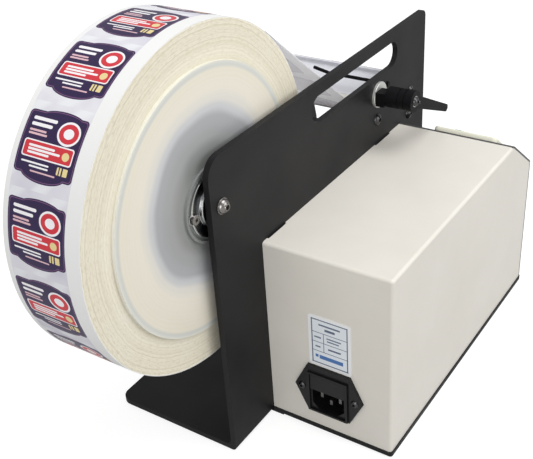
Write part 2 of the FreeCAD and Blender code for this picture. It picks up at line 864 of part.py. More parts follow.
def make_pads():
    """Rubber pads under the frame and the tray. The first ones bridge the joint between the two."""
    half = S.pad_size / 2
    rear = S.plate_rear_back - S.pad_inset - S.pad_size
    front = -(S.plate_front_ahead - S.pad_inset)
    outer = S.foot_width - S.pad_inset - S.pad_size
    side = -(S.box_width - S.pad_inset)
    corners = [(-half, S.tray_lip - S.pad_size), (-half, front), (outer, rear), (outer, front)]
    corners += [(side, -(S.pad_inset + S.pad_size)), (side, front)]
    group("foot_pads", [
        block(f"pad_{index}", S.pad_size, S.pad_size, S.pad_thick, x, y, ZERO)
        for index, (x, y) in enumerate(corners)
    ])


def make_tray():
    body = doc.addObject("PartDesign::Body", "base_tray")
    rear, front, side = S.tray_lip, -(S.box_length + S.tray_lip), -(S.box_width + S.tray_lip)
    floor = new_sketch(body, "YZ_Plane", "tray_floor")
    draw_outline(floor, rectangle(front, rear, S.pad_thick, box_bottom))
    add_pad(body, floor, S.box_width + S.tray_lip, back=True)
    round_edges(body, "tray_corners", [(side, rear, None), (side, front, None)], S.tray_round)
    flange = new_sketch(body, "YZ_Plane", "tray_flange")
    inset = S.cover_wall + S.run_gap
    ends = (-(S.box_length - S.panel_thick - S.run_gap), -inset)
    draw_outline(flange, rectangle(*ends, S.pad_thick, box_bottom + S.tray_flange_height))
    add_pad(body, flange, S.tray_flange_thick, back=True)
    holes = new_sketch(body, "YZ_Plane", "tray_holes")
    for place in tray_screw_places():
        draw_circle(holes, place, S.small_screw_radius)
    add_pocket(body, holes, S.tray_flange_thick)
    keep("base_tray", body)


def make_small_screws():
    """Screws from the roll side of the plate into the tray, the gearbox and the board's posts."""
    lengths = [(place, S.tray_flange_thick) for place in tray_screw_places()]
    lengths += [(place, S.small_screw_bite) for place in gearbox_screw_places() + board_post_places()]
    group("small_screws", [
        button_screw(
            f"small_screw_{index}", S.small_head_radius, S.small_head_height, S.small_screw_radius,
            S.plate_thick + bite, S.plate_thick, place, AGAINST_X,
        )
        for index, (place, bite) in enumerate(lengths)
    ])


def front_outline(inset):
    """The sloped and the upright front, seen from the side and set back by inset, from top to bottom."""
    lean = (slope_long - S.slope_drop) / S.slope_run
    return [
        (-(slope_top_ahead - inset / slope_up_share), box_top),
        (-(S.box_length - inset), slope_low_up - inset * lean),
        (-(S.box_length - inset), box_bottom),
    ]


def make_cover():
    body = doc.addObject("PartDesign::Body", "box_cover")
    side = -S.box_width
    outer = new_sketch(body, "YZ_Plane", "cover_outer")
    draw_outline(outer, [(ZERO, box_bottom), (ZERO, box_top)] + front_outline(S.panel_thick))
    add_pad(body, outer, S.box_width, back=True)
    bends = [(side, None, box_top), (None, ZERO, box_top), (side, ZERO, None)]
    round_edges(body, "cover_bends", bends, S.cover_round)
    inner = new_sketch(body, "YZ_Plane", "cover_inner")
    past = -(S.box_length + S.overrun)
    draw_outline(inner, rectangle(past, -S.cover_wall, box_bottom - S.overrun, box_top - S.cover_wall))
    add_pocket(body, inner, S.box_width - S.cover_wall)
    reliefs = new_sketch(body, "XY_Plane", "cover_reliefs")
    rear_notch = (S.relief_rear_ahead, S.relief_rear_length)
    front_notch = (S.relief_front_ahead, S.relief_front_length)
    for start, length in (rear_notch, front_notch):
        draw_outline(reliefs, rectangle(-S.relief_depth, S.overrun, -(start + length), -start))
    add_pocket(body, reliefs, box_top + S.overrun, back=True)
    holes = new_sketch(body, "XZ_Plane", "cover_holes")
    opening = (S.inlet_body_width + S.run_gap, S.inlet_body_height + S.run_gap)
    draw_outline(holes, around((-S.inlet_from_plate, S.inlet_up - S.inlet_body_drop), *opening))
    for place in inlet_screw_places():
        draw_circle(holes, place, S.small_screw_radius)
    add_pocket(body, holes, S.cover_wall, back=True)
    keep("box_cover", body)


def slope_point(distance):
    """The place (y, z) on the slope at a distance down from its top edge."""
    return -(slope_top_ahead + distance * slope_ahead_share), box_top - distance * slope_up_share


bezel_right = S.bezel_from_plate + S.bezel_width
bezel_middle = S.bezel_start + S.bezel_length / 2
button_x = -(S.bezel_from_plate + S.bezel_width * BUTTON_SHARE)
lens_x = -(S.bezel_from_plate + S.bezel_width * LENS_SHARE)
front_y = -S.box_length
rocker_place = (-S.rocker_from_plate, S.rocker_up)
knob_place = (-S.knob_from_plate, S.knob_up)


def make_panel():
    """The dark folded sheet over the slope and the front, with openings for the controls."""
    outer, inner = front_outline(ZERO), front_outline(S.panel_thick)
    body = doc.addObject("PartDesign::Body", "front_panel_sheet")
    sketch = new_sketch(body, "YZ_Plane", "panel_outline")
    draw_outline(sketch, outer + inner[::-1])
    add_pad(body, sketch, S.box_width, back=True)
    round_edges(body, "panel_bend", [(None, *outer[1])], S.panel_round)
    start = front_y + S.panel_thick + S.overrun
    deep = S.panel_thick + S.overrun * 2
    opening = around(rocker_place, S.rocker_width + S.run_gap, S.rocker_height + S.run_gap)
    rocker_hole = wall_plate("panel_rocker_hole", start, deep, opening)
    bush = S.pot_bush_radius + S.fit_gap
    knob_hole = drill("panel_knob_hole", bush, deep, knob_place[0], (start, knob_place[1]), AGAINST_Y)
    keep("front_panel", cut_from("front_panel_cut", body, [rocker_hole, knob_hole]))


def make_bezel():
    """The raised control piece on the slope: a hollow cap with holes for the button and the lens."""
    body = doc.addObject("PartDesign::Body", "control_bezel")
    wide, long, high = S.bezel_width, S.bezel_length, S.bezel_thick
    outer = new_sketch(body, "XY_Plane", "bezel_outer")
    draw_outline(outer, rectangle(ZERO, wide, ZERO, long))
    add_pad(body, outer, high)
    corners = [(x, y, None) for x in (ZERO, wide) for y in (ZERO, long)]
    round_edges(body, "bezel_corners", corners, S.bezel_corner)
    round_edges(body, "bezel_rounds", [(ZERO, None, high)], S.bezel_round)
    inner = new_sketch(body, "XY_Plane", "bezel_inner")
    wall = S.bezel_wall
    draw_outline(inner, rectangle(wall, wide - wall, wall, long - wall))
    add_pocket(body, inner, high - wall, back=True)
    holes = new_sketch(body, "XY_Plane", "bezel_holes")
    draw_circle(holes, (button_x + bezel_right, long / 2), S.button_radius + S.run_gap)
    draw_circle(holes, (lens_x + bezel_right, long / 2), S.lens_radius + S.fit_gap)
    add_pocket(body, holes, high, back=True)
    low_edge = slope_point(S.bezel_start + long)
    seat(body, -bezel_right, low_edge[0], low_edge[1], ON_SLOPE)
    keep("control_bezel", body)


def make_button():
    """The feed button, held under the bezel by its flange."""
    flange_top = S.bezel_thick - S.bezel_wall - S.run_gap
    flange_low = flange_top - S.button_flange_thick
    top, wide = S.bezel_thick + S.button_rise, S.button_radius + S.button_flange
    outline = [
        (flange_low, ZERO), (flange_low, wide), (flange_top, wide), (flange_top, S.button_radius),
        (top - S.edge_break, S.button_radius), (top, S.button_radius - S.edge_break), (top, ZERO),
    ]
    keep("feed_button", turned("feed_button", outline, button_x, slope_point(bezel_middle), OUT_OF_SLOPE))


def make_lens():
    """The indicator lens, which stands on the front panel and shows through the bezel."""
    radius, top = S.lens_radius, S.bezel_thick + S.lens_rise
    outline = [
        (ZERO, ZERO), (top, ZERO), (top, radius * LENS_DOME_SHARE),
        (top - S.lens_rise * LENS_DOME_SHARE, radius), (ZERO, radius),
    ]
    keep("indicator_lens", turned("indicator_lens", outline, lens_x, slope_point(bezel_middle), OUT_OF_SLOPE))


def make_rocker():
    """The mains switch: a housing through the front panel and a rocker that tilts in it."""
    wide, high, wall = S.rocker_width, S.rocker_height, S.rocker_wall
    rim = around(rocker_place, wide + S.rocker_rim * 2, high + S.rocker_rim * 2)
    shell = fused("rocker_shell", [
        wall_plate("rocker_rim_plate", front_y, S.rocker_rim_thick, rim),
        wall_plate("rocker_box", front_y + S.rocker_depth, S.rocker_depth, around(rocker_place, wide, high)),
    ])
    hollow_depth = S.rocker_axis_depth + S.rocker_body + wall
    hollow = wall_plate(
        "rocker_hollow", front_y + hollow_depth, hollow_depth + S.rocker_rim_thick + S.overrun,
        around(rocker_place, wide - wall * 2, high - wall * 2),
    )
    axis = (front_y + S.rocker_axis_depth, rocker_place[1])
    pin_hole = drill(
        "rocker_pin_hole", S.rocker_pin_radius + S.fit_gap, wide + S.overrun * 2,
        rocker_place[0] - wide / 2 - S.overrun, axis,
    )
    keep("rocker_housing", cut_from("rocker_housing_cut", shell, [hollow, pin_hole]))
    half = high / 2 - wall - S.rocker_play
    rise = S.rocker_rim_thick + S.rocker_axis_depth
    body = doc.addObject("PartDesign::Body", "rocker_cap")
    sketch = new_sketch(body, "YZ_Plane", "rocker_outline")
    draw_outline(sketch, [
        (S.rocker_body, -(half * ROCKER_FOOT_SHARE)), (S.rocker_body, half * ROCKER_FOOT_SHARE), (ZERO, half),
        (-(rise + S.rocker_rise), half), (-rise, ZERO), (-(rise + S.rocker_rise), -half), (ZERO, -half),
    ])
    thick = wide - wall * 2 - S.run_gap * 2
    add_pad(body, sketch, thick)
    turn = Rotation(Vector(1, 0, 0), ROCKER_TILT)
    seat(body, rocker_place[0] - thick / 2, axis[0], axis[1], turn)
    reach = S.rocker_pin_reach
    pin = drill(
        "rocker_pin", S.rocker_pin_radius, thick + reach * 2, rocker_place[0] - thick / 2 - reach, axis,
    )
    keep("power_rocker", fused("power_rocker_solid", [body, pin]))


def make_knob():
    """The speed knob and the potentiometer that carries it."""
    body_end = S.pot_depth
    bush_end = body_end + S.panel_thick + S.pot_bush_length
    shaft_end = bush_end + S.pot_shaft_length
    start = front_y + S.panel_thick + S.pot_depth
    keep("knob_pot", turned("knob_pot", [
        (ZERO, ZERO), (ZERO, S.pot_radius), (body_end, S.pot_radius), (body_end, S.pot_bush_radius),
        (bush_end, S.pot_bush_radius), (bush_end, S.pot_shaft_radius), (shaft_end, S.pot_shaft_radius),
        (shaft_end, ZERO),
    ], knob_place[0], (start, knob_place[1]), AGAINST_Y))
    bore, recess = S.pot_shaft_radius + S.fit_gap, S.pot_bush_radius + S.run_gap
    recess_end = S.pot_bush_length + S.run_gap
    bore_end = recess_end + S.pot_shaft_length
    outline = [
        (S.run_gap, recess), (recess_end, recess), (recess_end, bore), (bore_end, bore), (bore_end, ZERO),
        (S.knob_length, ZERO), (S.knob_length, S.knob_radius - S.knob_groove),
        (S.knob_length - S.knob_groove, S.knob_radius), (S.run_gap, S.knob_radius),
    ]
    knob = turned("knob_turned", outline, knob_place[0], (front_y, knob_place[1]), AGAINST_Y)
    groove = block(
        "knob_groove_cutter", S.knob_groove, S.knob_groove + S.overrun, S.knob_radius + S.overrun,
        knob_place[0] - S.knob_groove / 2, front_y - S.knob_length - S.overrun, knob_place[1],
    )
    keep("speed_knob", cut_from("speed_knob_cut", knob, [groove]))


def make_rating_plate():
    body = doc.addObject("PartDesign::Body", "rating_plate")
    sketch = new_sketch(body, "XZ_Plane", "rating_outline")
    outline = around((-S.rating_from_plate, S.rating_up), S.rating_width, S.rating_height)
    draw_outline(sketch, outline)
    add_pad(body, sketch, S.rating_thick, back=True)
    corners = [(across, None, up) for across, up in outline]
    round_edges(body, "rating_corners", corners, S.rating_round)
    keep("rating_plate", body)


def make_inlet():
    """The mains inlet: a six-sided flange with a raised rim, a body with a socket, and a fuse drawer."""
    centre = (-S.inlet_from_plate, S.inlet_up)
    flat, wide, high = S.inlet_flange_flat / 2, S.inlet_flange_width / 2, S.inlet_flange_height / 2
    thick = S.inlet_flange_thick
    holes = [(place, S.small_screw_radius + S.fit_gap) for place in inlet_screw_places()]
    flange = wall_plate("inlet_flange", thick, thick, [
        (centre[0] - wide, centre[1]), (centre[0] - flat, centre[1] - high),
        (centre[0] + flat, centre[1] - high), (centre[0] + wide, centre[1]),
        (centre[0] + flat, centre[1] + high), (centre[0] - flat, centre[1] + high),
    ], holes)
    body_place = (centre[0], centre[1] - S.inlet_body_drop)
    inside = around(body_place, S.inlet_body_width, S.inlet_body_height)
    rim_place = (centre[0], centre[1] - S.inlet_rim_drop)
    rim_wide, rim_high, rim_wall = S.inlet_rim_width, S.inlet_rim_height, S.inlet_rim_wall
    face = thick + S.inlet_rim_rise
    shell = fused("inlet_shell", [
        flange, wall_plate("inlet_box", ZERO, S.inlet_body_depth, inside),
        wall_plate("inlet_rim", face, face, around(rim_place, rim_wide, rim_high)),
    ])
    rim_inside = wall_plate("inlet_rim_inside", face + S.overrun, S.inlet_rim_rise + S.overrun, around(
        rim_place, rim_wide - rim_wall * 2, rim_high - rim_wall * 2,
    ))
    socket = (centre[0], centre[1] - S.socket_drop)
    (left, low), _, (right, top), _ = around(socket, S.socket_width, S.socket_height)
    corner = S.socket_corner
    recess = wall_plate("inlet_recess", thick + S.overrun, S.socket_depth + S.overrun, [
        (left + corner, low), (right - corner, low), (right, low + corner), (right, top), (left, top),
        (left, low + corner),
    ])
    drawer = (centre[0], centre[1] + S.drawer_rise)
    slot = wall_plate("drawer_slot", thick + S.overrun, S.drawer_depth + S.overrun + S.run_gap, around(
        drawer, S.drawer_width + S.run_gap * 2, S.drawer_height + S.run_gap * 2,
    ))
    keep("inlet_housing", cut_from("inlet_housing_cut", shell, [rim_inside, recess, slot]))
    live_up = socket[1] + S.pin_rise
    pin_places = [
        (socket[0] - S.pin_spacing / 2, live_up), (socket[0] + S.pin_spacing / 2, live_up),
        (socket[0], socket[1] - S.earth_drop),
    ]
    pin_end = thick - S.socket_depth + S.pin_reach
    group("inlet_pins", [
        wall_plate(f"inlet_pin_{index}", pin_end, S.pin_reach, around(place, S.pin_wide, S.pin_high))
        for index, place in enumerate(pin_places)
    ])
    make_drawer(drawer, thick)
    group("inlet_screws", [
        button_screw(
            f"inlet_screw_{index}", S.small_head_radius, S.small_head_height, S.small_screw_radius,
            thick + S.small_screw_bite, place[0], (thick, place[1]), AGAINST_Y,
        )
        for index, place in enumerate(inlet_screw_places())
    ])


def make_drawer(place, face):
    """The fuse drawer, with a bed for the fuse along its top."""
    lip = S.drawer_lip
    front = around(place, S.drawer_front_width, S.drawer_front_height)
    inside = around(place, S.drawer_width, S.drawer_height)
    solid = fused("drawer_solid", [
        wall_plate("drawer_front", face + lip, lip, front),
        wall_plate("drawer_tongue", face, S.drawer_depth, inside),
    ])
    bed_start = (face - S.drawer_depth - lip, place[1] + S.drawer_height / 2)
    bed = drill("fuse_bed", S.fuse_bed_radius, S.drawer_depth, place[0], bed_start, ALONG_Y)
    keep("fuse_drawer", cut_from("fuse_drawer_cut", solid, [bed]))


def make_supply():
    """The power supply: a shell that stands on the tray and is open below."""
    x, y, wall = -(S.supply_from_plate + S.supply_width), -(S.supply_ahead + S.supply_length), S.supply_wall
    outer = block("supply_outer", S.supply_width, S.supply_length, S.supply_height, x, y, box_bottom)
    inner = block(
        "supply_inner", S.supply_width - wall * 2, S.supply_length - wall * 2,
        S.supply_height - wall + S.overrun, x + wall, y + wall, box_bottom - S.overrun,
    )
    keep("power_supply", cut_from("power_supply_cut", outer, [inner]))


def make_board():
    """The control board on its posts, with its larger components."""
    face = -(S.board_post_length + S.board_thick)
    front = -(S.board_ahead + S.board_length)
    outline = rectangle(front, -S.board_ahead, S.board_up, S.board_up + S.board_height)
    bore = S.small_screw_radius
    holes = [(place, bore) for place in board_post_places()]
    keep("control_board", side_plate("control_board", face, S.board_thick, outline, holes))
    group("board_posts", [
        ring(f"board_post_{index}", S.board_post_length, S.board_post_radius, bore, -S.board_post_length, place)
        for index, place in enumerate(board_post_places())
    ])
    can_up = S.board_up + S.board_height * CAN_UP_SHARE
    cans = [
        drill(f"board_can_{index}", S.board_can_radius, S.board_can_height, face - S.board_can_height, (
            -(S.board_ahead + S.board_length * share), can_up,
        ))
        for index, share in enumerate(CAN_SHARES)
    ]
    (chip_long, chip_high), (chip_end, chip_up) = CHIP_SIZE_SHARES, CHIP_PLACE_SHARES
    chip = block(
        "board_chip", S.board_chip_height, S.board_length * chip_long, S.board_height * chip_high,
        face - S.board_chip_height, -(S.board_ahead + S.board_length * chip_end),
        S.board_up + S.board_height * chip_up,
    )
    plug = block(
        "board_plug", S.board_plug_height, S.board_length * PLUG_LENGTH_SHARE, S.board_plug_height,
        face - S.board_plug_height, -(S.board_ahead + S.board_length * PLUG_END_SHARE),
        S.board_up + S.board_post_inset,
    )
    group("board_parts", cans + [chip, plug])


def make_motor():
    """The gearbox against the plate, with its boss in the plate's hole, and the motor behind it."""
    case = drill("gearbox_case", S.gearbox_radius, S.gearbox_length, -S.gearbox_length, gearbox_axis)
    boss = drill("gearbox_boss", S.gearbox_boss_radius, S.plate_thick * 2, -S.plate_thick, drive_axis)
    bore_start = S.drive_shaft_reach + S.run_gap
    bore = S.drive_shaft_radius + S.fit_gap
    bite = S.small_screw_bite
    cutters = [drill("gearbox_bore", bore, bore_start + S.plate_thick * 2, -bore_start, drive_axis)]
    cutters += [
        drill(f"gearbox_tap_{index}", S.small_screw_radius, bite + S.overrun, -bite, place)
        for index, place in enumerate(gearbox_screw_places())
    ]
    keep("gearbox", cut_from("gearbox_cut", fused("gearbox_solid", [case, boss]), cutters))
    long, cap_end = S.motor_length, S.motor_length + S.motor_cap_length
    keep("motor_can", turned("motor_can", [
        (ZERO, ZERO), (ZERO, S.motor_radius), (long - S.edge_break, S.motor_radius),
        (long, S.motor_radius - S.edge_break), (long, S.motor_cap_radius), (cap_end, S.motor_cap_radius),
        (cap_end, ZERO),
    ], -S.gearbox_length, gearbox_axis, AGAINST_X))


def make_spindle():
    """The fixed spindle: a rod with a head that holds the spool, and its screw with a washer."""
    length = sleeve_far + S.run_gap - S.plate_thick
    total = length + S.spindle_head_length
    bore, depth = S.spindle_screw_radius + S.fit_gap, S.screw_bite + S.run_gap
    keep("spindle", turned("spindle", [
        (ZERO, bore), (depth, bore), (depth, ZERO), (total, ZERO), (total, S.spindle_head_radius - S.edge_break),
        (total - S.edge_break, S.spindle_head_radius), (length, S.spindle_head_radius),
        (length, S.spindle_radius), (ZERO, S.spindle_radius),
    ], S.plate_thick, spindle_axis))
    start = -S.washer_thick
    screw = button_screw(
        "spindle_bolt", S.spindle_screw_head_radius, S.spindle_screw_head_height, S.spindle_screw_radius,
        S.washer_thick + S.plate_thick + S.screw_bite, start, spindle_axis,
    )
    washer = ring("spindle_washer", S.washer_thick, S.washer_radius, bore, start, spindle_axis)
    group("spindle_screw", [screw, washer])


def make_inner_disc():
    """The near disc of the spool and the collar that clamps it with three sunk screws."""
    near, bore = S.plate_thick + S.run_gap, S.spindle_radius + S.run_gap
    places = [round_about(spindle_axis, S.collar_screw_circle, angle) for angle in COLLAR_SCREW_ANGLES]
    collar = ring("collar_ring", disc_near - near, S.collar_radius, bore, near, spindle_axis)
    sink_radius, sink_depth = S.collar_screw_radius + S.fit_gap, S.collar_screw_depth + S.overrun
    hole_radius = S.collar_screw_shank + S.fit_gap
    sinks = [
        drill(f"collar_sink_{index}", sink_radius, sink_depth, near - S.overrun, place)
        for index, place in enumerate(places)
    ]
    holes = [
        drill(f"collar_hole_{index}", hole_radius, disc_near, near, place)
        for index, place in enumerate(places)
    ]
    keep("spindle_flange", cut_from("spindle_flange_cut", collar, sinks + holes))
    depth, shank = S.collar_screw_depth, S.collar_screw_shank
    socket, socket_end = S.collar_screw_radius * SUNK_SOCKET_SHARE, depth * SUNK_SOCKET_DEPTH_SHARE
    tip = disc_near + S.disc_thick - near
    outline = [
        (socket_end, ZERO), (socket_end, socket), (S.edge_break, socket), (S.edge_break, S.collar_screw_radius),
        (depth, S.collar_screw_radius), (depth, shank), (tip, shank), (tip, ZERO),
    ]
    screws = [turned(f"flange_screw_{index}", outline, near, place) for index, place in enumerate(places)]
    group("flange_screws", screws)
    lip, far = S.disc_lip_height, S.disc_lip_height + S.disc_thick
    disc = turned("inner_disc_turned", [
        (lip, bore), (far, bore), (far, S.disc_radius), (lip, S.disc_radius), (lip, S.disc_lip_outer),
        (ZERO, S.disc_lip_outer), (ZERO, S.disc_lip_inner), (lip, S.disc_lip_inner),
    ], disc_near - lip, spindle_axis)
    disc_holes = [
        through(f"disc_hole_{index}", hole_radius, disc_near, S.disc_thick, place)
        for index, place in enumerate(places)
    ]
    keep("inner_disc", cut_from("inner_disc_cut", disc, disc_holes))


def make_spool():
    """The drum in the roll's core, with ribs and two bearings, and the roll itself."""
    width, sleeve, rim = S.roll_width, S.hub_sleeve_radius, S.core_inner_radius
    near, sleeve_length = S.roll_from_plate, S.roll_width + S.hub_sleeve_reach
    drum = turned("core_hub_turned", [
        (ZERO, S.bearing_radius), (sleeve_length, S.bearing_radius), (sleeve_length, sleeve),
        (S.hub_web_thick, sleeve), (S.hub_web_thick, rim - S.hub_rim_wall), (width, rim - S.hub_rim_wall),
        (width, rim), (ZERO, rim),
    ], near, spindle_axis)
    rib_low, rib_high = sleeve - S.hub_rim_wall / 2, rim - S.hub_rim_wall / 2
    ribs = []
    for index, angle in enumerate(HUB_RIB_ANGLES):
        edge = round_about(spindle_axis, rib_low, angle)
        corner = round_about(edge, S.hub_rib_thick / 2, angle + 90)
        turn = Rotation(Vector(1, 0, 0), angle - 90)
        ribs.append(block(
            f"hub_rib_{index}", width, S.hub_rib_thick, rib_high - rib_low, near, corner[0], corner[1], turn,
        ))
    keep("core_hub", fused("core_hub_solid", [drum] + ribs))
    bore = S.spindle_radius + S.fit_gap
    starts = [near + S.bearing_inset, roll_far - S.bearing_inset - S.bearing_width]
    group("hub_bearings", [
        ring(f"hub_bearing_{index}", S.bearing_width, S.bearing_radius, bore, start, spindle_axis)
        for index, start in enumerate(starts)
    ])
    keep("roll_core", ring("roll_core", width, S.core_outer_radius, rim, near, spindle_axis))
    keep("label_roll", ring("label_roll", width, S.roll_radius, S.core_outer_radius, near, spindle_axis))


def make_retainer():
    """The outer disc slides on the spool's sleeve and a collar with a thumb screw locks it."""
    near, bore = roll_far + S.run_gap, S.hub_sleeve_radius + S.fit_gap * 2
    reach = S.outer_disc_thick + S.outer_boss_length
    keep("outer_disc", turned("outer_disc", [
        (ZERO, bore), (reach, bore), (reach, S.outer_boss_radius), (S.outer_disc_thick, S.outer_boss_radius),
        (S.outer_disc_thick, S.disc_radius), (ZERO, S.disc_radius),
    ], near, spindle_axis))
    lock = ring("lock_ring", S.lock_length, S.lock_radius, bore, near + reach, spindle_axis)
    middle = near + reach + S.lock_length / 2
    turn = Rotation(Vector(1, 0, 0), THUMB_SCREW_ANGLE).multiply(ALONG_Y)
    hole = drill("lock_hole", S.thumb_screw_radius, S.lock_radius, middle, spindle_axis, turn)
    keep("locking_collar", cut_from("locking_collar_cut", lock, [hole]))
    start = round_about(spindle_axis, bore + S.fit_gap, THUMB_SCREW_ANGLE)
    neck = S.lock_radius - bore
    top = neck + S.thumb_height
    keep("thumb_screw", turned("thumb_screw", [
        (ZERO, ZERO), (ZERO, S.thumb_screw_radius), (neck, S.thumb_screw_radius), (neck, S.thumb_radius),
        (top - S.edge_break, S.thumb_radius), (top, S.thumb_radius - S.edge_break), (top, ZERO),
    ], middle, start, turn))


def make_web():
    """The web from the roll under the guide roller, over the platform, round its nose and to the drive."""
    turns = [(*off_roll, 0.0), guide_turn, crest_turn, nose_turn, drive_turn, tail_end]
    near, wide = S.roll_from_plate.value, S.roll_width.value
    keep("label_web", feature("label_web", strip(turns, S.web_thick.value, near, wide)))
    end, along, left = slope_line[1:]
    lift = on_sheet + S.presented_thick.value / 2
    tip = moved(end, (along, S.presented_reach.value), (left, lift))
    root = moved(tip, (along, -S.presented_length.value))
    label_near = near + S.label_margin.value
    shape = strip([(*root, 0.0), (*tip, 0.0)], S.presented_thick.value, label_near, S.label_width.value)
    keep("presented_label", feature("presented_label", shape))


def make_guide():
    """The guide roller and its axle, which stands in the platform's flange."""
    length = S.guide_from_plate + S.guide_length + S.run_gap - S.plate_thick
    total = length + S.guide_head_length
    keep("guide_axle", turned("guide_axle", [
        (ZERO, ZERO), (total, ZERO), (total, S.guide_head_radius), (length, S.guide_head_radius),
        (length, S.guide_axle_radius), (ZERO, S.guide_axle_radius),
    ], S.plate_thick, guide_axis))
    bore = S.guide_axle_radius + S.fit_gap
    keep("guide_roller", ring(
        "guide_roller", S.guide_length, S.guide_radius, bore, S.guide_from_plate, guide_axis,
    ))


def make_platform():
    """The steel platform that the web runs over, with a flange at each side."""
    thick, near, wide = (size.value for size in (S.platform_thick, S.plate_thick, S.platform_width))
    drop = on_sheet + thick / 2
    left = rise_line[3]
    bend = S.platform_bend.value + thick / 2
    rear_centre = moved(on_rise(S.platform_rear_ahead.value), (left, -(drop + bend)))
    rear_turn = (*rear_centre, -bend)
    lip = (rear_centre[0] - bend, rear_centre[1] - S.platform_rear_lip.value, 0.0)
    crest = (*crest_turn[:2], crest_turn[2] + drop)
    nose = (*nose_turn[:2], nose_turn[2] + drop)
    back = (S.nose_ahead.value - S.nose_return.value, S.nose_up.value - S.nose_return_drop.value, 0.0)
    sheet_shape = strip([lip, rear_turn, crest, nose, back], thick, near, wide)
    rear_run, front_run = tangent_line(rear_turn, crest), tangent_line(crest, nose)
    shared = [*rear_run[:2], *front_run[:2]]
    low_up, margin = S.flange_low_up.value, S.end_plate_margin.value
    shared += [(S.flange_low_front_ahead.value, low_up), (S.flange_low_rear_ahead.value, low_up)]
    ear_low, ear_top = S.flange_screw_up.value - margin, S.flange_rear_top_up.value
    ear_rear = S.flange_rear_ahead.value
    ear = [
        (S.flange_screw_ahead.value, ear_low), (ear_rear, ear_low), (ear_rear, ear_top),
        (S.guide_ahead.value + margin, ear_top),
    ]
    flange = S.flange_thick.value
    sides = [slab(shared + ear, near, flange), slab(shared, near + wide - flange, flange)]
    slot_long, slot_wide = S.sensor_slot_length.value, S.sensor_slot_width.value
    slot_corner = Vector(
        near + (wide - slot_long) / 2, -S.tie_bar_ahead.value - slot_wide / 2,
        S.tie_bar_up.value + S.sensor_above.value,
    )
    cutters = [Part.makeBox(slot_long, slot_wide, S.crest_radius.value * 2, slot_corner)]
    holes = [
        (tie_axis, S.tie_bar_radius), (pivot_axis, S.pinch_rod_radius), (guide_axis, S.guide_axle_radius),
        (flange_screw_place, S.screw_radius),
    ]
    over = S.overrun.value
    for place, radius in holes:
        start = Vector(near - over, place[0].value, place[1].value)
        cutters.append(Part.makeCylinder(radius.value, wide + over * 2, start, Vector(1, 0, 0)))
    shape = sheet_shape.fuse(sides).cut(cutters).removeSplitter()
    keep("peel_platform", feature("peel_platform", shape))


def make_ties():
    """Bars between the side plate and the end plate, with their screws."""
    length = end_plate_near - S.plate_thick
    keep("pinch_rod", tapped_rod("pinch_rod", length, S.pinch_rod_radius, S.plate_thick, pivot_axis))
    group("tie_bars", [
        tapped_rod("tie_bar", length, S.tie_bar_radius, S.plate_thick, tie_axis),
        tapped_rod("low_bar", length, S.tie_bar_radius, S.plate_thick, low_axis),
    ])
    shank, plate_shank = S.screw_radius, S.plate_thick + S.screw_bite
    head = (S.screw_head_radius, S.screw_head_height, shank)
    group("plate_screws", [
        button_screw("flange_bolt", *head, S.plate_thick + S.flange_thick, ZERO, flange_screw_place),
        button_screw("pivot_bolt", *head, plate_shank, ZERO, pivot_axis),
    ])
    outer, end_shank = end_plate_near + S.end_plate_thick, S.end_plate_thick + S.screw_bite
    head = (S.tie_head_radius, S.small_head_height, shank)
    near_screws = [
        button_screw(f"tie_screw_{index}", *head, plate_shank, ZERO, place)
        for index, place in enumerate((tie_axis, low_axis))
    ]
    far_screws = [
        button_screw(f"end_screw_{index}", *head, end_shank, outer, place, AGAINST_X)
        for index, place in enumerate((tie_axis, low_axis, pivot_axis))
    ]
    group("tie_screws", near_screws + far_screws)
    margin = S.end_plate_margin
    rear, front = -(S.drive_ahead - margin * 2), -(S.low_bar_ahead + margin)
    outline = [
        (front, S.low_bar_up - margin), (rear, S.low_bar_up - margin), (rear, S.pinch_pivot_up),
        (-(S.tie_bar_ahead - margin), S.tie_bar_up + margin),
        (-(S.tie_bar_ahead + margin), S.tie_bar_up + margin), (front, S.drive_up),
    ]
    holes = [(place, shank + S.fit_gap) for place in (tie_axis, low_axis, pivot_axis)]
    holes.append((drive_axis, S.drive_journal_radius + S.fit_gap))
    keep("end_plate", side_plate("end_plate", end_plate_near, S.end_plate_thick, outline, holes))


def make_hold_rod():
    """The thin rod that limits the flap, with its tip bent up."""
    radius, head = S.hold_rod_radius.value, S.hold_rod_head_height.value
    place = [axis.value for axis in hold_rod_axis]
    start, knee = Vector(-head, *place), Vector(S.hold_rod_reach.value, *place)
    tip = Vector(S.hold_rod_tip.value, 0, S.hold_rod_tip_rise.value)
    solid = Part.makeCylinder(S.hold_rod_head_radius.value, head, start, Vector(1, 0, 0)).fuse([
        Part.makeCylinder(radius, (knee - start).Length, start, Vector(1, 0, 0)),
        Part.makeSphere(radius, knee),
        Part.makeCylinder(radius, tip.Length, knee, tip),
    ])
    keep("hold_down_rod", feature("hold_down_rod", solid.removeSplitter()))


def make_drive():
    """The driven roller: a steel core with its shaft into the gearbox, and a rubber sleeve."""
    shaft, core, journal = S.drive_shaft_radius, S.drive_core_radius, S.drive_journal_radius
    core_start = S.drive_shaft_reach + S.drive_core_from_plate
    core_end = S.drive_shaft_reach + platform_far - S.edge_break
    end = S.drive_shaft_reach + end_plate_near + S.end_plate_thick + S.edge_break
    keep("drive_core", turned("drive_core", [
        (ZERO, ZERO), (ZERO, shaft), (core_start, shaft), (core_start, core), (core_end, core),
        (core_end, journal), (end, journal), (end, ZERO),
    ], -S.drive_shaft_reach, drive_axis))
    long = platform_far - S.sleeve_from_end - S.sleeve_from_plate
    sleeve = ring("drive_sleeve", long, S.drive_radius, core, S.sleeve_from_plate, drive_axis)
    keep("drive_sleeve", sleeve)


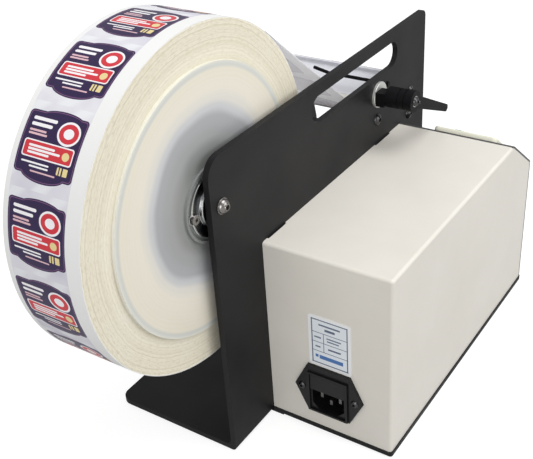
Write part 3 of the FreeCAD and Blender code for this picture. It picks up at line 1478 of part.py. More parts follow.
def make_pinch():
    """The pinch roller on its arm, which swings on the rod and opens when its tab bar is pushed down."""
    pieces = []
    for name, near in (("arm_near", arm_near), ("arm_far", arm_far)):
        pieces += link_bar(f"{name}_roller", S.arm_half, near, S.arm_thick, pinch_axis, pivot_axis)
        pieces += link_bar(f"{name}_tab", S.arm_half, near, S.arm_thick, pivot_axis, tab_axis)
    length = arm_far + S.arm_thick - arm_near
    pieces.append(drill("tab_bar", S.tab_radius, length, arm_near, tab_axis))
    cutters = [
        through("arm_pivot_hole", S.pinch_rod_radius + S.fit_gap, arm_near, length, pivot_axis),
        through("arm_axle_hole", S.pinch_axle_radius, arm_near, length, pinch_axis),
    ]
    keep("pinch_arm", cut_from("pinch_arm_cut", fused("pinch_arm_solid", pieces), cutters))
    radius = S.pinch_axle_radius
    keep("pinch_axle", turned("pinch_axle", [
        (ZERO, ZERO), (length, ZERO), (length, radius), (ZERO, radius),
    ], arm_near, pinch_axis))
    near = arm_near + S.arm_thick + S.run_gap
    roller = ring("pinch_roller", arm_far - S.run_gap - near, S.pinch_radius, radius + S.fit_gap, near, pinch_axis)
    keep("pinch_roller", roller)


def bend_points(start, start_along, end, end_along):
    """The middle, joint and second middle of the two arcs from start to end with the given directions."""
    gap, both = end - start, start_along + end_along
    spread = 1 - start_along.dot(end_along)
    crossing = gap.dot(both)
    reach = (math.sqrt(crossing ** 2 + 2 * spread * gap.dot(gap)) - crossing) / (2 * spread)
    corner_1, corner_2 = start + start_along * reach, end - end_along * reach
    joint = (corner_1 + corner_2) * 0.5
    middles = []
    for first, corner, last in ((start, corner_1, joint), (joint, corner_2, end)):
        weight = (last - first).Length / (2 * reach)
        middles.append((first + corner * (2 * weight) + last) * (1 / (2 + 2 * weight)))
    return middles[0], joint, middles[1]


def coil_state(turns, near, centre, radius, pitch, start_angle):
    """Point and direction on the coil after a number of turns."""
    angle = start_angle + 2 * math.pi * turns
    round_y, round_z = math.cos(angle), math.sin(angle)
    point = Vector(near + pitch * turns, centre[0] + radius * round_y, centre[1] + radius * round_z)
    along = Vector(pitch / (2 * math.pi), -radius * round_z, radius * round_y).normalize()
    return point, along


def print_least_gap(path, wire, half_turn):
    """Print the least gap between stretches of the wire that are at least half a turn apart."""
    points = path.discretize(Number=SPRING_SAMPLES)
    apart = int(half_turn / (path.Length / (len(points) - 1)))
    least = min(
        (points[k] - points[j]).Length for k in range(len(points)) for j in range(k + apart, len(points))
    )
    print(f"pinch_spring least gap to itself {least - 2 * wire:.2f} mm")


def make_spring():
    """The spring that presses the arm: one wire wound round the rod, with a straight leg at each end."""
    wire, radius = S.spring_wire_radius.value, S.spring_coil_radius.value
    pitch = S.spring_pitch.value
    centre, roller = [axis.value for axis in pivot_axis], [axis.value for axis in pinch_axis]
    lean = math.atan2(roller[1] - centre[1], roller[0] - centre[0])
    near = (arm_near + S.arm_thick + S.run_gap).value + wire * 2
    states = [
        coil_state(step / SPRING_STEPS, near, centre, radius, pitch, lean + math.pi / 2)
        for step in range(SPRING_TURNS * SPRING_STEPS + 1)
    ]
    (first, first_along), (last, last_along) = states[0], states[-1]
    start, end = first - first_along * S.spring_leg.value, last + last_along * S.spring_leg.value
    edges = [Part.LineSegment(start, first).toShape()]
    for (here, here_along), (there, there_along) in zip(states, states[1:]):
        middle_1, joint, middle_2 = bend_points(here, here_along, there, there_along)
        edges.append(Part.Arc(here, middle_1, joint).toShape())
        edges.append(Part.Arc(joint, middle_2, there).toShape())
    edges.append(Part.LineSegment(last, end).toShape())
    path = Part.Wire(edges)
    circle = Part.Wire(Part.makeCircle(wire, start, first_along))
    keep("pinch_spring", feature("pinch_spring", path.makePipeShell([circle], True, False)))
    print_least_gap(path, wire, math.pi * radius)


def make_sensor():
    """The label sensor, which slides along the tie bar under the platform's slot."""
    rear, front = -(S.tie_bar_ahead - S.sensor_half_length), -(S.tie_bar_ahead + S.sensor_half_length)
    low, high = S.tie_bar_up - S.sensor_below, S.tie_bar_up + S.sensor_above
    outline = [
        (rear, low), (rear, high), (-S.tie_bar_ahead, high), (front, S.tie_bar_up - S.sensor_front_drop),
        (front, low),
    ]
    holes = [(tie_axis, S.tie_bar_radius + S.fit_gap)]
    keep("sensor_block", side_plate("sensor_block", S.sensor_from_plate, S.sensor_width, outline, holes))


def make_lever():
    """The bush in the plate, the shaft through it, and the hub, with its stop block, and lever on the box side."""
    flange, bore = S.lever_bush_flange_thick, S.lever_shaft_radius + S.fit_gap
    keep("lever_bush", turned("lever_bush", [
        (ZERO, bore), (flange + S.plate_thick, bore), (flange + S.plate_thick, S.lever_bush_radius),
        (flange, S.lever_bush_radius), (flange, S.lever_bush_flange_radius),
        (S.edge_break, S.lever_bush_flange_radius), (ZERO, S.lever_bush_flange_radius - S.edge_break),
    ], -flange, lever_axis))
    outer = lever_near + S.lever_thick
    length = outer + arm_near + S.flange_thick + S.edge_break
    tap, bite = S.small_screw_radius, S.small_screw_bite
    tap_end = bite + S.run_gap
    keep("lever_shaft", turned("lever_shaft", [
        (ZERO, tap), (tap_end, tap), (tap_end, ZERO), (length, ZERO), (length, S.lever_shaft_radius),
        (ZERO, S.lever_shaft_radius),
    ], -outer, lever_axis))
    hub_long, hub = S.lever_hub_length, S.lever_hub_radius
    neck_long, neck = S.lever_neck_length, S.lever_neck_radius
    outline = [(ZERO, S.lever_shaft_radius), (ZERO, neck), (neck_long, neck), (neck_long, hub)]
    for share in HUB_GROOVE_SHARES:
        start, low = hub_long * share, hub - S.lever_hub_groove
        end = start + S.lever_hub_groove_width
        outline += [(start, hub), (start, low), (end, low), (end, hub)]
    outline += [(hub_long, hub), (hub_long, S.lever_shaft_radius)]
    neck_near = -(bush_near + neck_long)
    solid = fused("hub_solid", [
        turned("hub_turned", outline, -bush_near, lever_axis, AGAINST_X),
        side_plate("hub_stop", neck_near, neck_long, rectangle(
            lever_axis[0], lever_axis[0] + S.lever_stop_reach, lever_axis[1] - neck, lever_axis[1] + neck,
        )),
    ])
    bore_cut = through("hub_bore", S.lever_shaft_radius, neck_near, neck_long, lever_axis)
    keep("lever_hub", cut_from("lever_hub", solid, [bore_cut]))
    make_blade(-outer)


def make_blade(near):
    """The lever itself: a ring on the shaft with a tapering blade, and its two screws."""
    span = long_side(S.lever_tip_ahead, S.lever_tip_drop)
    ahead_share, drop_share = S.lever_tip_ahead / span, S.lever_tip_drop / span
    tip = (lever_axis[0] - S.lever_tip_ahead, lever_axis[1] - S.lever_tip_drop)
    root_y, root_z = S.lever_root_half * drop_share, S.lever_root_half * ahead_share
    tip_y, tip_z = S.lever_tip_half * drop_share, S.lever_tip_half * ahead_share
    thick, shaft = S.lever_thick, S.lever_shaft_radius
    solid = fused("lever_solid", [
        side_plate("lever_blade", near, thick, [
            (lever_axis[0] + root_y, lever_axis[1] - root_z), (lever_axis[0] - root_y, lever_axis[1] + root_z),
            (tip[0] - tip_y, tip[1] + tip_z), (tip[0] + tip_y, tip[1] - tip_z),
        ]),
        drill("lever_eye", S.lever_ring_radius, thick, near, lever_axis),
        drill("lever_end", S.lever_tip_half, thick, near, tip),
    ])
    side_place = (
        lever_axis[0] - S.lever_screw_spacing * ahead_share, lever_axis[1] - S.lever_screw_spacing * drop_share,
    )
    cutters = [
        through("lever_bore", shaft, near, thick, lever_axis),
        drill("lever_tap", S.side_screw_radius, S.side_screw_bite + S.overrun, near - S.overrun, side_place),
    ]
    keep("release_lever", cut_from("release_lever_cut", solid, cutters))
    group("lever_screws", [
        button_screw(
            "lever_centre_screw", S.tie_head_radius, S.screw_head_height, S.small_screw_radius,
            S.small_screw_bite, near, lever_axis,
        ),
        button_screw(
            "lever_side_screw", S.side_screw_head_radius, S.side_screw_head_height, S.side_screw_radius,
            S.side_screw_bite, near, side_place,
        ),
    ])


def make_flap():
    """The steel flap that holds the web down, carried by the lever's shaft."""
    thick, near, wide = S.flap_thick.value, arm_near.value, S.flange_thick.value
    off, bend = half_web + S.flap_gap.value + thick / 2, S.flap_bend.value + thick / 2
    along, left = rise_line[2:]
    rear = moved(on_rise(S.flap_rear_ahead.value), (left, off + bend))
    front = moved(on_rise(S.flap_front_ahead.value), (left, off + bend))
    lip = S.flap_lip.value
    turns = [
        (*moved(rear, (along, -bend), (left, lip)), 0.0), (*rear, bend), (*front, bend),
        (*moved(front, (along, bend), (left, lip)), 0.0),
    ]
    sheet_shape = strip(turns, thick, near, platform_far.value - near)
    half, centre = S.flap_arm_half.value, (S.lever_ahead.value, S.lever_up.value)
    root = moved(on_rise(S.flap_rear_ahead.value), (left, off + half - thick / 2))
    run = (root[0] - centre[0], root[1] - centre[1])
    span = math.hypot(*run)
    side = (-run[1] / span, run[0] / span)
    arm = slab([
        moved(centre, (side, half)), moved(root, (side, half)), moved(root, (side, -half)),
        moved(centre, (side, -half)),
    ], near, wide)
    across, over = Vector(1, 0, 0), S.overrun.value
    eye = Part.makeCylinder(S.flap_eye_radius.value, wide, spot_at(centre, near), across)
    end = Part.makeCylinder(half, wide, spot_at(root, near), across)
    bore = Part.makeCylinder(S.lever_shaft_radius.value, wide + over * 2, spot_at(centre, near - over), across)
    shape = sheet_shape.fuse([arm, eye, end]).cut(bore).removeSplitter()
    keep("hold_down_flap", feature("hold_down_flap", shape))


for make in (
    make_frame, make_pads, make_tray, make_small_screws, make_cover, make_panel, make_bezel, make_button,
    make_lens, make_rocker, make_knob, make_rating_plate, make_inlet, make_supply, make_board, make_motor,
    make_spindle, make_inner_disc, make_spool, make_retainer, make_web, make_guide, make_platform, make_ties,
    make_hold_rod, make_drive, make_pinch, make_spring, make_sensor, make_lever, make_flap,
):
    make()
doc.recompute()

for item in doc.Objects:
    if "Invalid" in item.State or "Error" in item.State:
        raise RuntimeError(f"{item.Name} failed: {item.State}")
for name, thing in NODES.items():
    if thing.Shape.isNull() or not thing.Shape.isValid() or not thing.Shape.Solids:
        raise RuntimeError(f"{name} has no valid solid")
os.makedirs("parts", exist_ok=True)
for name, thing in NODES.items():
    thing.Shape.exportStep(f"parts/{name}.step")
print(f"{len(NODES)} sub-parts written")
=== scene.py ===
"""Looks of the label dispenser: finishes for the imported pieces, screws with hexagon sockets, the flange
behind the roll, lights and camera."""
import math

import bmesh
import bpy
from mathutils import Matrix, Vector


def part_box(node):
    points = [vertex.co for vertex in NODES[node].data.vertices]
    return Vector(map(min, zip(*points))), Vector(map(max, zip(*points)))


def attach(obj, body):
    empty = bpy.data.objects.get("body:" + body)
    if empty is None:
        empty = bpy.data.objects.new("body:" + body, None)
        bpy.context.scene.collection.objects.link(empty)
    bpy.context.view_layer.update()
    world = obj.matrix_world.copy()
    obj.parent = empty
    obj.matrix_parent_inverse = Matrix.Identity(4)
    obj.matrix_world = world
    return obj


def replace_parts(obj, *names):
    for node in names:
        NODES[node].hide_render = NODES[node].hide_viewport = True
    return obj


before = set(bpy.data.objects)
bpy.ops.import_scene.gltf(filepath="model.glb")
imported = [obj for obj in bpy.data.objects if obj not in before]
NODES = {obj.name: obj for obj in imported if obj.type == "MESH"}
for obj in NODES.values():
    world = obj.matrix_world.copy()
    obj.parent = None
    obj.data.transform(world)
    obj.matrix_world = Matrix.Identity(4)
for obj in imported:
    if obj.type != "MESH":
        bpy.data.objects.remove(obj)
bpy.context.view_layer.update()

# Places and sizes in metres, in the same frame as the solids. Axes along X are given as (y, z).
SPINDLE = (0.0368, 0.1878)
LEVER = (-0.1580, 0.1803)
ROLL_RADIUS = 0.1064
ROLL_SKIN = 0.0004
DISC_RADIUS = 0.083
# The grey ring of painted shade, the core's hollow seen through the disc, has its middle this far above the
# spindle.
ZONE_RISE = 0.006

# Labels on the roll and the web: their places round the spindle in degrees, and along the paper in metres.
LABEL_MIDDLE_X = 0.04065
LABEL_PITCH_DEGREES = 24.93
LABEL_FIRST_DEGREES = 38.42
LABEL_PITCH = 0.0463
LABEL_COLUMN_HALF = 0.0206
WEB_LEAVES_AT = 130.9
LABELS_TO_WEB = 4
# Added before a fraction is taken, so that it is never that of a negative number and 0 is a label's middle.
WHOLE_LABELS = 20.5
# The web has its labels on top above this line, z + LEAN * y > LIMIT, and is bare below it.
LABELLED_LEAN, LABELLED_LIMIT = 0.7, -0.012

# Radii on the flange behind the roll.
FLANGE_DARK_MIDDLE, FLANGE_STEP, FLANGE_STEP_HALF, FLANGE_RIM = 0.0124, 0.0131, 0.0005, 0.0196

LATHE_RINGS = 4200.0
CARD_RINGS = 1600.0
COAT_ROUGHNESS = 0.12


# Node helpers

def new_group(name, inputs, outputs):
    """A shader node group with named inputs (name, kind, default) and outputs (name, kind)."""
    tree = bpy.data.node_groups.new(name, "ShaderNodeTree")
    for label, kind, default in inputs:
        socket = tree.interface.new_socket(label, in_out="INPUT", socket_type=kind)
        socket.default_value = default
    for label, kind in outputs:
        tree.interface.new_socket(label, in_out="OUTPUT", socket_type=kind)
    return tree, tree.nodes.new("NodeGroupInput"), tree.nodes.new("NodeGroupOutput")


def put(tree, socket, value):
    if isinstance(value, bpy.types.NodeSocket):
        tree.links.new(value, socket)
    else:
        socket.default_value = value


def math_node(tree, operation, first, second=None, third=None):
    node = tree.nodes.new("ShaderNodeMath")
    node.operation = operation
    for socket, value in zip(node.inputs, (first, second, third)):
        if value is not None:
            put(tree, socket, value)
    return node.outputs[0]


def vector_node(tree, operation, first, second=None):
    node = tree.nodes.new("ShaderNodeVectorMath")
    node.operation = operation
    put(tree, node.inputs[0], first)
    if second is not None:
        put(tree, node.inputs[1], second)
    return node.outputs["Value"] if operation in ("LENGTH", "DOT_PRODUCT") else node.outputs[0]


def combine(tree, x, y, z=0.0):
    node = tree.nodes.new("ShaderNodeCombineXYZ")
    for socket, value in zip(node.inputs, (x, y, z)):
        put(tree, socket, value)
    return node.outputs[0]


def separate(tree, vector):
    node = tree.nodes.new("ShaderNodeSeparateXYZ")
    tree.links.new(vector, node.inputs[0])
    return node.outputs


def mix_colour(tree, factor, first, second):
    node = tree.nodes.new("ShaderNodeMix")
    node.data_type = "RGBA"
    put(tree, node.inputs[0], factor)
    put(tree, node.inputs[6], first)
    put(tree, node.inputs[7], second)
    return node.outputs[2]


def spread(tree, value, low, high, to_low=0.0, to_high=1.0):
    node = tree.nodes.new("ShaderNodeMapRange")
    for socket, number in zip(node.inputs, (value, low, high, to_low, to_high)):
        put(tree, socket, number)
    return node.outputs[0]


def noise(tree, vector, scale, detail=2.0, rough=0.5):
    node = tree.nodes.new("ShaderNodeTexNoise")
    put(tree, node.inputs["Vector"], vector)
    put(tree, node.inputs["Scale"], scale)
    node.inputs["Detail"].default_value = detail
    node.inputs["Roughness"].default_value = rough
    return node.outputs[0]


def object_place(tree):
    return tree.nodes.new("ShaderNodeTexCoord").outputs["Object"]


def rgba(colour):
    return (*colour, 1.0)


# Effects that several finishes share

def make_grain_group():
    """Fine powder or moulding grain: a roughness that varies and a height for a bump."""
    tree, given, result = new_group("grain", [
        ("Scale", "NodeSocketFloat", 900.0), ("Rough Low", "NodeSocketFloat", 0.4),
        ("Rough High", "NodeSocketFloat", 0.5),
    ], [("Roughness", "NodeSocketFloat"), ("Height", "NodeSocketFloat")])
    place = object_place(tree)
    fine = noise(tree, place, given.outputs["Scale"], 3.0)
    broad = noise(tree, place, 14.0, 3.0)
    rough = spread(tree, broad, 0.35, 0.65, given.outputs["Rough Low"], given.outputs["Rough High"])
    tree.links.new(rough, result.inputs["Roughness"])
    tree.links.new(fine, result.inputs["Height"])
    return tree


def make_stain_group():
    """Slow change between two colours, with small specks."""
    tree, given, result = new_group("stain", [
        ("Colour", "NodeSocketColor", (0.5, 0.5, 0.5, 1.0)),
        ("Second", "NodeSocketColor", (0.4, 0.4, 0.4, 1.0)),
        ("Scale", "NodeSocketFloat", 18.0), ("Specks", "NodeSocketFloat", 0.0),
    ], [("Colour", "NodeSocketColor")])
    place = object_place(tree)
    broad = spread(tree, noise(tree, place, given.outputs["Scale"], 4.0, 0.6), 0.35, 0.7)
    fine = spread(tree, noise(tree, place, 1500.0, 1.0), 0.66, 0.74)
    amount = math_node(tree, "MULTIPLY", fine, given.outputs["Specks"])
    both = math_node(tree, "MAXIMUM", broad, amount)
    colour = mix_colour(tree, both, given.outputs["Colour"], given.outputs["Second"])
    tree.links.new(colour, result.inputs["Colour"])
    return tree


def make_brushed_group():
    """Streaks along one axis. Stretch holds the density along each axis."""
    tree, given, result = new_group("brushed", [
        ("Stretch", "NodeSocketVector", (40.0, 2500.0, 2500.0)), ("Rough Low", "NodeSocketFloat", 0.25),
        ("Rough High", "NodeSocketFloat", 0.42),
    ], [("Roughness", "NodeSocketFloat"), ("Height", "NodeSocketFloat")])
    stretched = vector_node(tree, "MULTIPLY", object_place(tree), given.outputs["Stretch"])
    streak = noise(tree, stretched, 1.0, 2.0)
    rough = spread(tree, streak, 0.3, 0.7, given.outputs["Rough Low"], given.outputs["Rough High"])
    tree.links.new(rough, result.inputs["Roughness"])
    tree.links.new(streak, result.inputs["Height"])
    return tree


def make_wound_group():
    """The edges of wound paper round an axis along X: fine lines that waver a little from turn to turn."""
    tree, given, result = new_group("wound_edges", [
        ("Axis", "NodeSocketVector", (0.0, 0.0, 0.0)), ("Waver", "NodeSocketFloat", 0.0006),
    ], [("Radius", "NodeSocketFloat"), ("Rings", "NodeSocketFloat")])
    apart = vector_node(tree, "SUBTRACT", object_place(tree), given.outputs["Axis"])
    parts = separate(tree, apart)
    radius = vector_node(tree, "LENGTH", combine(tree, 0.0, parts[1], parts[2]))
    drift = math_node(tree, "SUBTRACT", noise(tree, apart, 22.0, 2.0), 0.5)
    wavy = math_node(tree, "ADD", radius, math_node(tree, "MULTIPLY", drift, given.outputs["Waver"]))
    shares = ((1700.0, 0.30), (760.0, 0.40), (210.0, 0.30))
    total = None
    for density, share in shares:
        line = combine(tree, math_node(tree, "MULTIPLY", wavy, density), 0.0)
        ring = math_node(tree, "MULTIPLY", noise(tree, line, 1.0, 2.0, 0.6), share)
        total = ring if total is None else math_node(tree, "ADD", total, ring)
    tree.links.new(radius, result.inputs["Radius"])
    tree.links.new(total, result.inputs["Rings"])
    return tree


def make_turned_group():
    """Distance from an axis along X through a place, and fine rings round it."""
    tree, given, result = new_group("turned", [
        ("Axis", "NodeSocketVector", (0.0, 0.0, 0.0)), ("Rings", "NodeSocketFloat", 2500.0),
    ], [("Radius", "NodeSocketFloat"), ("Rings", "NodeSocketFloat")])
    apart = vector_node(tree, "SUBTRACT", object_place(tree), given.outputs["Axis"])
    parts = separate(tree, apart)
    radius = vector_node(tree, "LENGTH", combine(tree, 0.0, parts[1], parts[2]))
    line = combine(tree, math_node(tree, "MULTIPLY", radius, given.outputs["Rings"]), 0.0)
    rings = noise(tree, line, 1.0, 3.0, 0.7)
    tree.links.new(radius, result.inputs["Radius"])
    tree.links.new(rings, result.inputs["Rings"])
    return tree


def make_label_group():
    """A printed label of about 40 by 39 mm round (0, 0): dark ground, red band, plain bars and a badge."""
    tree, given, result = new_group("label_print", [
        ("U", "NodeSocketFloat", 0.0), ("V", "NodeSocketFloat", 0.0),
        ("Backing", "NodeSocketColor", (0.8, 0.8, 0.8, 1.0)),
    ], [("Colour", "NodeSocketColor"), ("Mask", "NodeSocketFloat")])
    place = combine(tree, given.outputs["U"], given.outputs["V"])

    def panel(u, v, half_u, half_v, corner):
        """One inside a rounded rectangle and zero outside it. Lengths are in mm."""
        apart = vector_node(tree, "SUBTRACT", place, (u / 1000, v / 1000, 0.0))
        away = vector_node(tree, "ABSOLUTE", apart)
        inner = ((half_u - corner) / 1000, (half_v - corner) / 1000, 1.0)
        out = vector_node(tree, "MAXIMUM", vector_node(tree, "SUBTRACT", away, inner), (0.0, 0.0, 0.0))
        return math_node(tree, "LESS_THAN", vector_node(tree, "LENGTH", out), corner / 1000)

    def oval(u, v, half_u, half_v):
        """One inside an ellipse and zero outside it. Lengths are in mm."""
        away = vector_node(tree, "SUBTRACT", place, (u / 1000, v / 1000, 0.0))
        even = vector_node(tree, "DIVIDE", away, (half_u / 1000, half_v / 1000, 1.0))
        return math_node(tree, "LESS_THAN", vector_node(tree, "LENGTH", even), 1.0)

    def together(*masks):
        joined = masks[0]
        for mask in masks[1:]:
            joined = math_node(tree, "MAXIMUM", joined, mask)
        return joined

    def badge(inward, corner):
        """The label's outline, moved inward by some mm."""
        return together(
            panel(0, 1.4, 20.2 - inward, 16.6 - inward, corner),
            oval(0, -13.6, 15.2 - inward, 5.2 - inward), oval(2.5, 16.0, 14.0 - inward, 3.8 - inward),
        )

    body, inset, ground = badge(0.0, 2.4), badge(0.7, 1.9), badge(1.05, 1.7)
    navy, plum, red = (0.026, 0.013, 0.062, 1.0), (0.20, 0.09, 0.20, 1.0), (0.60, 0.035, 0.05, 1.0)
    white, gold, rose = (0.86, 0.84, 0.86, 1.0), (0.75, 0.62, 0.30, 1.0), (0.70, 0.45, 0.50, 1.0)
    colour = mix_colour(tree, body, given.outputs["Backing"], navy)
    colour = mix_colour(tree, inset, colour, plum)
    colour = mix_colour(tree, ground, colour, navy)
    layers = [
        (oval(9.8, 9.2, 7.6, 6.4), white), (oval(9.8, 9.2, 6.4, 5.2), red), (oval(9.8, 9.2, 3.4, 2.7), white),
        (panel(-8.2, 13.6, 8.2, 0.9, 0.9), white), (panel(-9.2, 10.4, 7.2, 0.9, 0.9), white),
        (panel(-10.6, 7.2, 5.8, 0.55, 0.5), rose), (panel(-10.0, 5.4, 6.4, 0.55, 0.5), rose),
        (panel(0.0, -2.2, 17.2, 4.6, 1.6), white), (panel(0.0, -2.2, 16.5, 3.9, 1.2), red),
        (panel(-4.5, -0.6, 9.0, 0.6, 0.5), white), (panel(-2.5, -2.4, 11.0, 0.6, 0.5), white),
        (panel(-6.0, -4.2, 7.5, 0.6, 0.5), white), (oval(12.4, -2.3, 2.4, 2.2), gold),
        (panel(-6.4, -9.2, 9.6, 0.45, 0.4), white), (panel(-3.4, -11.0, 6.6, 0.45, 0.4), white),
        (panel(0.0, -13.4, 8.6, 0.4, 0.4), rose), (panel(12.6, -10.0, 3.6, 2.0, 0.5), gold),
        (panel(12.6, -10.0, 0.5, 2.0, 0.2), navy), (panel(10.6, -10.0, 0.35, 2.0, 0.2), navy),
    ]
    for mask, paint in layers:
        colour = mix_colour(tree, mask, colour, paint)
    tree.links.new(colour, result.inputs["Colour"])
    tree.links.new(body, result.inputs["Mask"])
    return tree


GRAIN = make_grain_group()
STAIN = make_stain_group()
BRUSHED = make_brushed_group()
TURNED = make_turned_group()
WOUND = make_wound_group()
LABEL = make_label_group()


def use(tree, group, **values):
    """Place a group in a material, with its inputs by name (a low line stands for a space)."""
    node = tree.nodes.new("ShaderNodeGroup")
    node.node_tree = group
    for name, value in values.items():
        put(tree, node.inputs[name.replace("_", " ")], value)
    return node.outputs


def new_material(name, metallic=0.0, coat=0.0, specular=0.5):
    material = bpy.data.materials.new(name)
    material.use_nodes = True
    shader = material.node_tree.nodes["Principled BSDF"]
    shader.inputs["Metallic"].default_value = metallic
    shader.inputs["Coat Weight"].default_value = coat
    shader.inputs["Coat Roughness"].default_value = COAT_ROUGHNESS
    shader.inputs["Specular IOR Level"].default_value = specular
    return material, material.node_tree, shader


def bump(tree, shader, height, distance, strength=0.5):
    node = tree.nodes.new("ShaderNodeBump")
    node.inputs["Strength"].default_value = strength
    node.inputs["Distance"].default_value = distance
    tree.links.new(height, node.inputs["Height"])
    tree.links.new(node.outputs[0], shader.inputs["Normal"])


def grained(name, colour, second=None, rough=(0.4, 0.5), scale=900.0, depth=0.00006, specks=0.0, **extra):
    """Powder coat, moulded plastic or rubber."""
    material, tree, shader = new_material(name, **extra)
    second = second or tuple(part * 0.86 for part in colour)
    paint = use(tree, STAIN, Colour=rgba(colour), Second=rgba(second), Specks=specks)
    grain = use(tree, GRAIN, Scale=scale, Rough_Low=rough[0], Rough_High=rough[1])
    tree.links.new(paint["Colour"], shader.inputs["Base Color"])
    tree.links.new(grain["Roughness"], shader.inputs["Roughness"])
    bump(tree, shader, grain["Height"], depth)
    return material


def brushed(name, colour, stretch=(40.0, 2500.0, 2500.0), rough=(0.24, 0.40), depth=0.00002):
    """Ground or rolled metal with streaks along one axis."""
    material, tree, shader = new_material(name, metallic=1.0)
    paint = use(tree, STAIN, Colour=rgba(colour), Second=rgba(tuple(part * 0.88 for part in colour)))
    streak = use(tree, BRUSHED, Stretch=stretch, Rough_Low=rough[0], Rough_High=rough[1])
    tree.links.new(paint["Colour"], shader.inputs["Base Color"])
    tree.links.new(streak["Roughness"], shader.inputs["Roughness"])
    bump(tree, shader, streak["Height"], depth)
    return material


def turned(name, colour, axis, metallic=1.0, rough=(0.2, 0.42), depth=0.00002):
    """Turned on a lathe: fine rings round an axis along X through (y, z)."""
    material, tree, shader = new_material(name, metallic=metallic)
    lathe = use(tree, TURNED, Axis=(0.0, *axis), Rings=LATHE_RINGS)
    paint = use(tree, STAIN, Colour=rgba(colour), Second=rgba(tuple(part * 0.85 for part in colour)))
    tree.links.new(paint["Colour"], shader.inputs["Base Color"])
    tree.links.new(spread(tree, lathe["Rings"], 0.3, 0.7, *rough), shader.inputs["Roughness"])
    bump(tree, shader, lathe["Rings"], depth)
    return material


def wound_edges(tree):
    return use(tree, WOUND, Axis=(0.0, *SPINDLE), Waver=0.004)


def place_on_label(tree, count):
    """Metres along the paper from the middle of the nearest label, from a count of labels."""
    part = math_node(tree, "FRACT", math_node(tree, "ADD", count, WHOLE_LABELS))
    return math_node(tree, "MULTIPLY", math_node(tree, "SUBTRACT", part, 0.5), LABEL_PITCH)


def make_roll_finish():
    """Printed labels on white backing round the roll, and the edges of its turns on its sides."""
    material, tree, shader = new_material("wound_labels", specular=0.35)
    place = object_place(tree)
    parts = separate(tree, vector_node(tree, "SUBTRACT", place, (LABEL_MIDDLE_X, *SPINDLE)))
    angle = math_node(tree, "DEGREES", math_node(tree, "ARCTAN2", parts[2], parts[1]))
    past = math_node(tree, "GREATER_THAN", angle, WEB_LEAVES_AT)
    angle = math_node(tree, "SUBTRACT", angle, math_node(tree, "MULTIPLY", past, 360.0))
    from_first = math_node(tree, "SUBTRACT", angle, LABEL_FIRST_DEGREES)
    along = place_on_label(tree, math_node(tree, "DIVIDE", from_first, LABEL_PITCH_DEGREES))
    sheen = spread(tree, noise(tree, place, 30.0, 3.0), 0.35, 0.65)
    backing = mix_colour(tree, sheen, (0.74, 0.74, 0.77, 1.0), (0.60, 0.58, 0.66, 1.0))
    slant = math_node(tree, "ADD", parts[0], along)
    glare = math_node(tree, "SINE", math_node(tree, "MULTIPLY", slant, 210.0))
    backing = mix_colour(tree, spread(tree, glare, 0.2, 0.9, 0.0, 0.7), backing, (0.78, 0.80, 0.82, 1.0))
    margin = math_node(tree, "GREATER_THAN", math_node(tree, "ABSOLUTE", parts[0]), LABEL_COLUMN_HALF)
    backing = mix_colour(tree, margin, backing, (0.80, 0.805, 0.795, 1.0))
    label = use(tree, LABEL, U=math_node(tree, "MULTIPLY", parts[0], -1.0), V=along, Backing=backing)
    turns = wound_edges(tree)
    patches = noise(tree, place, 26.0, 4.0)
    edge = mix_colour(tree, spread(tree, turns["Rings"], 0.38, 0.60), (0.62, 0.56, 0.41, 1.0),
                      (0.90, 0.86, 0.74, 1.0))
    edge = mix_colour(tree, spread(tree, patches, 0.5, 0.75, 0.0, 0.35), edge, (0.84, 0.82, 0.75, 1.0))
    fibre = combine(tree, math_node(tree, "MULTIPLY", turns["Radius"], 1300.0),
                    math_node(tree, "MULTIPLY", angle, 0.45))
    frayed = math_node(tree, "MULTIPLY", spread(tree, noise(tree, fibre, 1.0, 3.0, 0.7), 0.48, 0.70),
                       spread(tree, turns["Radius"], 0.078, 0.104, 0.25, 0.75))
    edge = mix_colour(tree, frayed, edge, (0.56, 0.51, 0.36, 1.0))
    outside = math_node(tree, "GREATER_THAN", turns["Radius"], ROLL_RADIUS - ROLL_SKIN)
    colour = mix_colour(tree, outside, edge, label["Colour"])
    tree.links.new(colour, shader.inputs["Base Color"])
    gloss = math_node(tree, "MULTIPLY", outside, label["Mask"])
    tree.links.new(spread(tree, gloss, 0.0, 1.0, 0.62, 0.36), shader.inputs["Roughness"])
    inside = math_node(tree, "SUBTRACT", 1.0, outside)
    height = math_node(tree, "ADD", math_node(tree, "MULTIPLY", inside, turns["Rings"]),
                       math_node(tree, "MULTIPLY", gloss, 0.6))
    bump(tree, shader, height, 0.00018, 0.6)
    return material


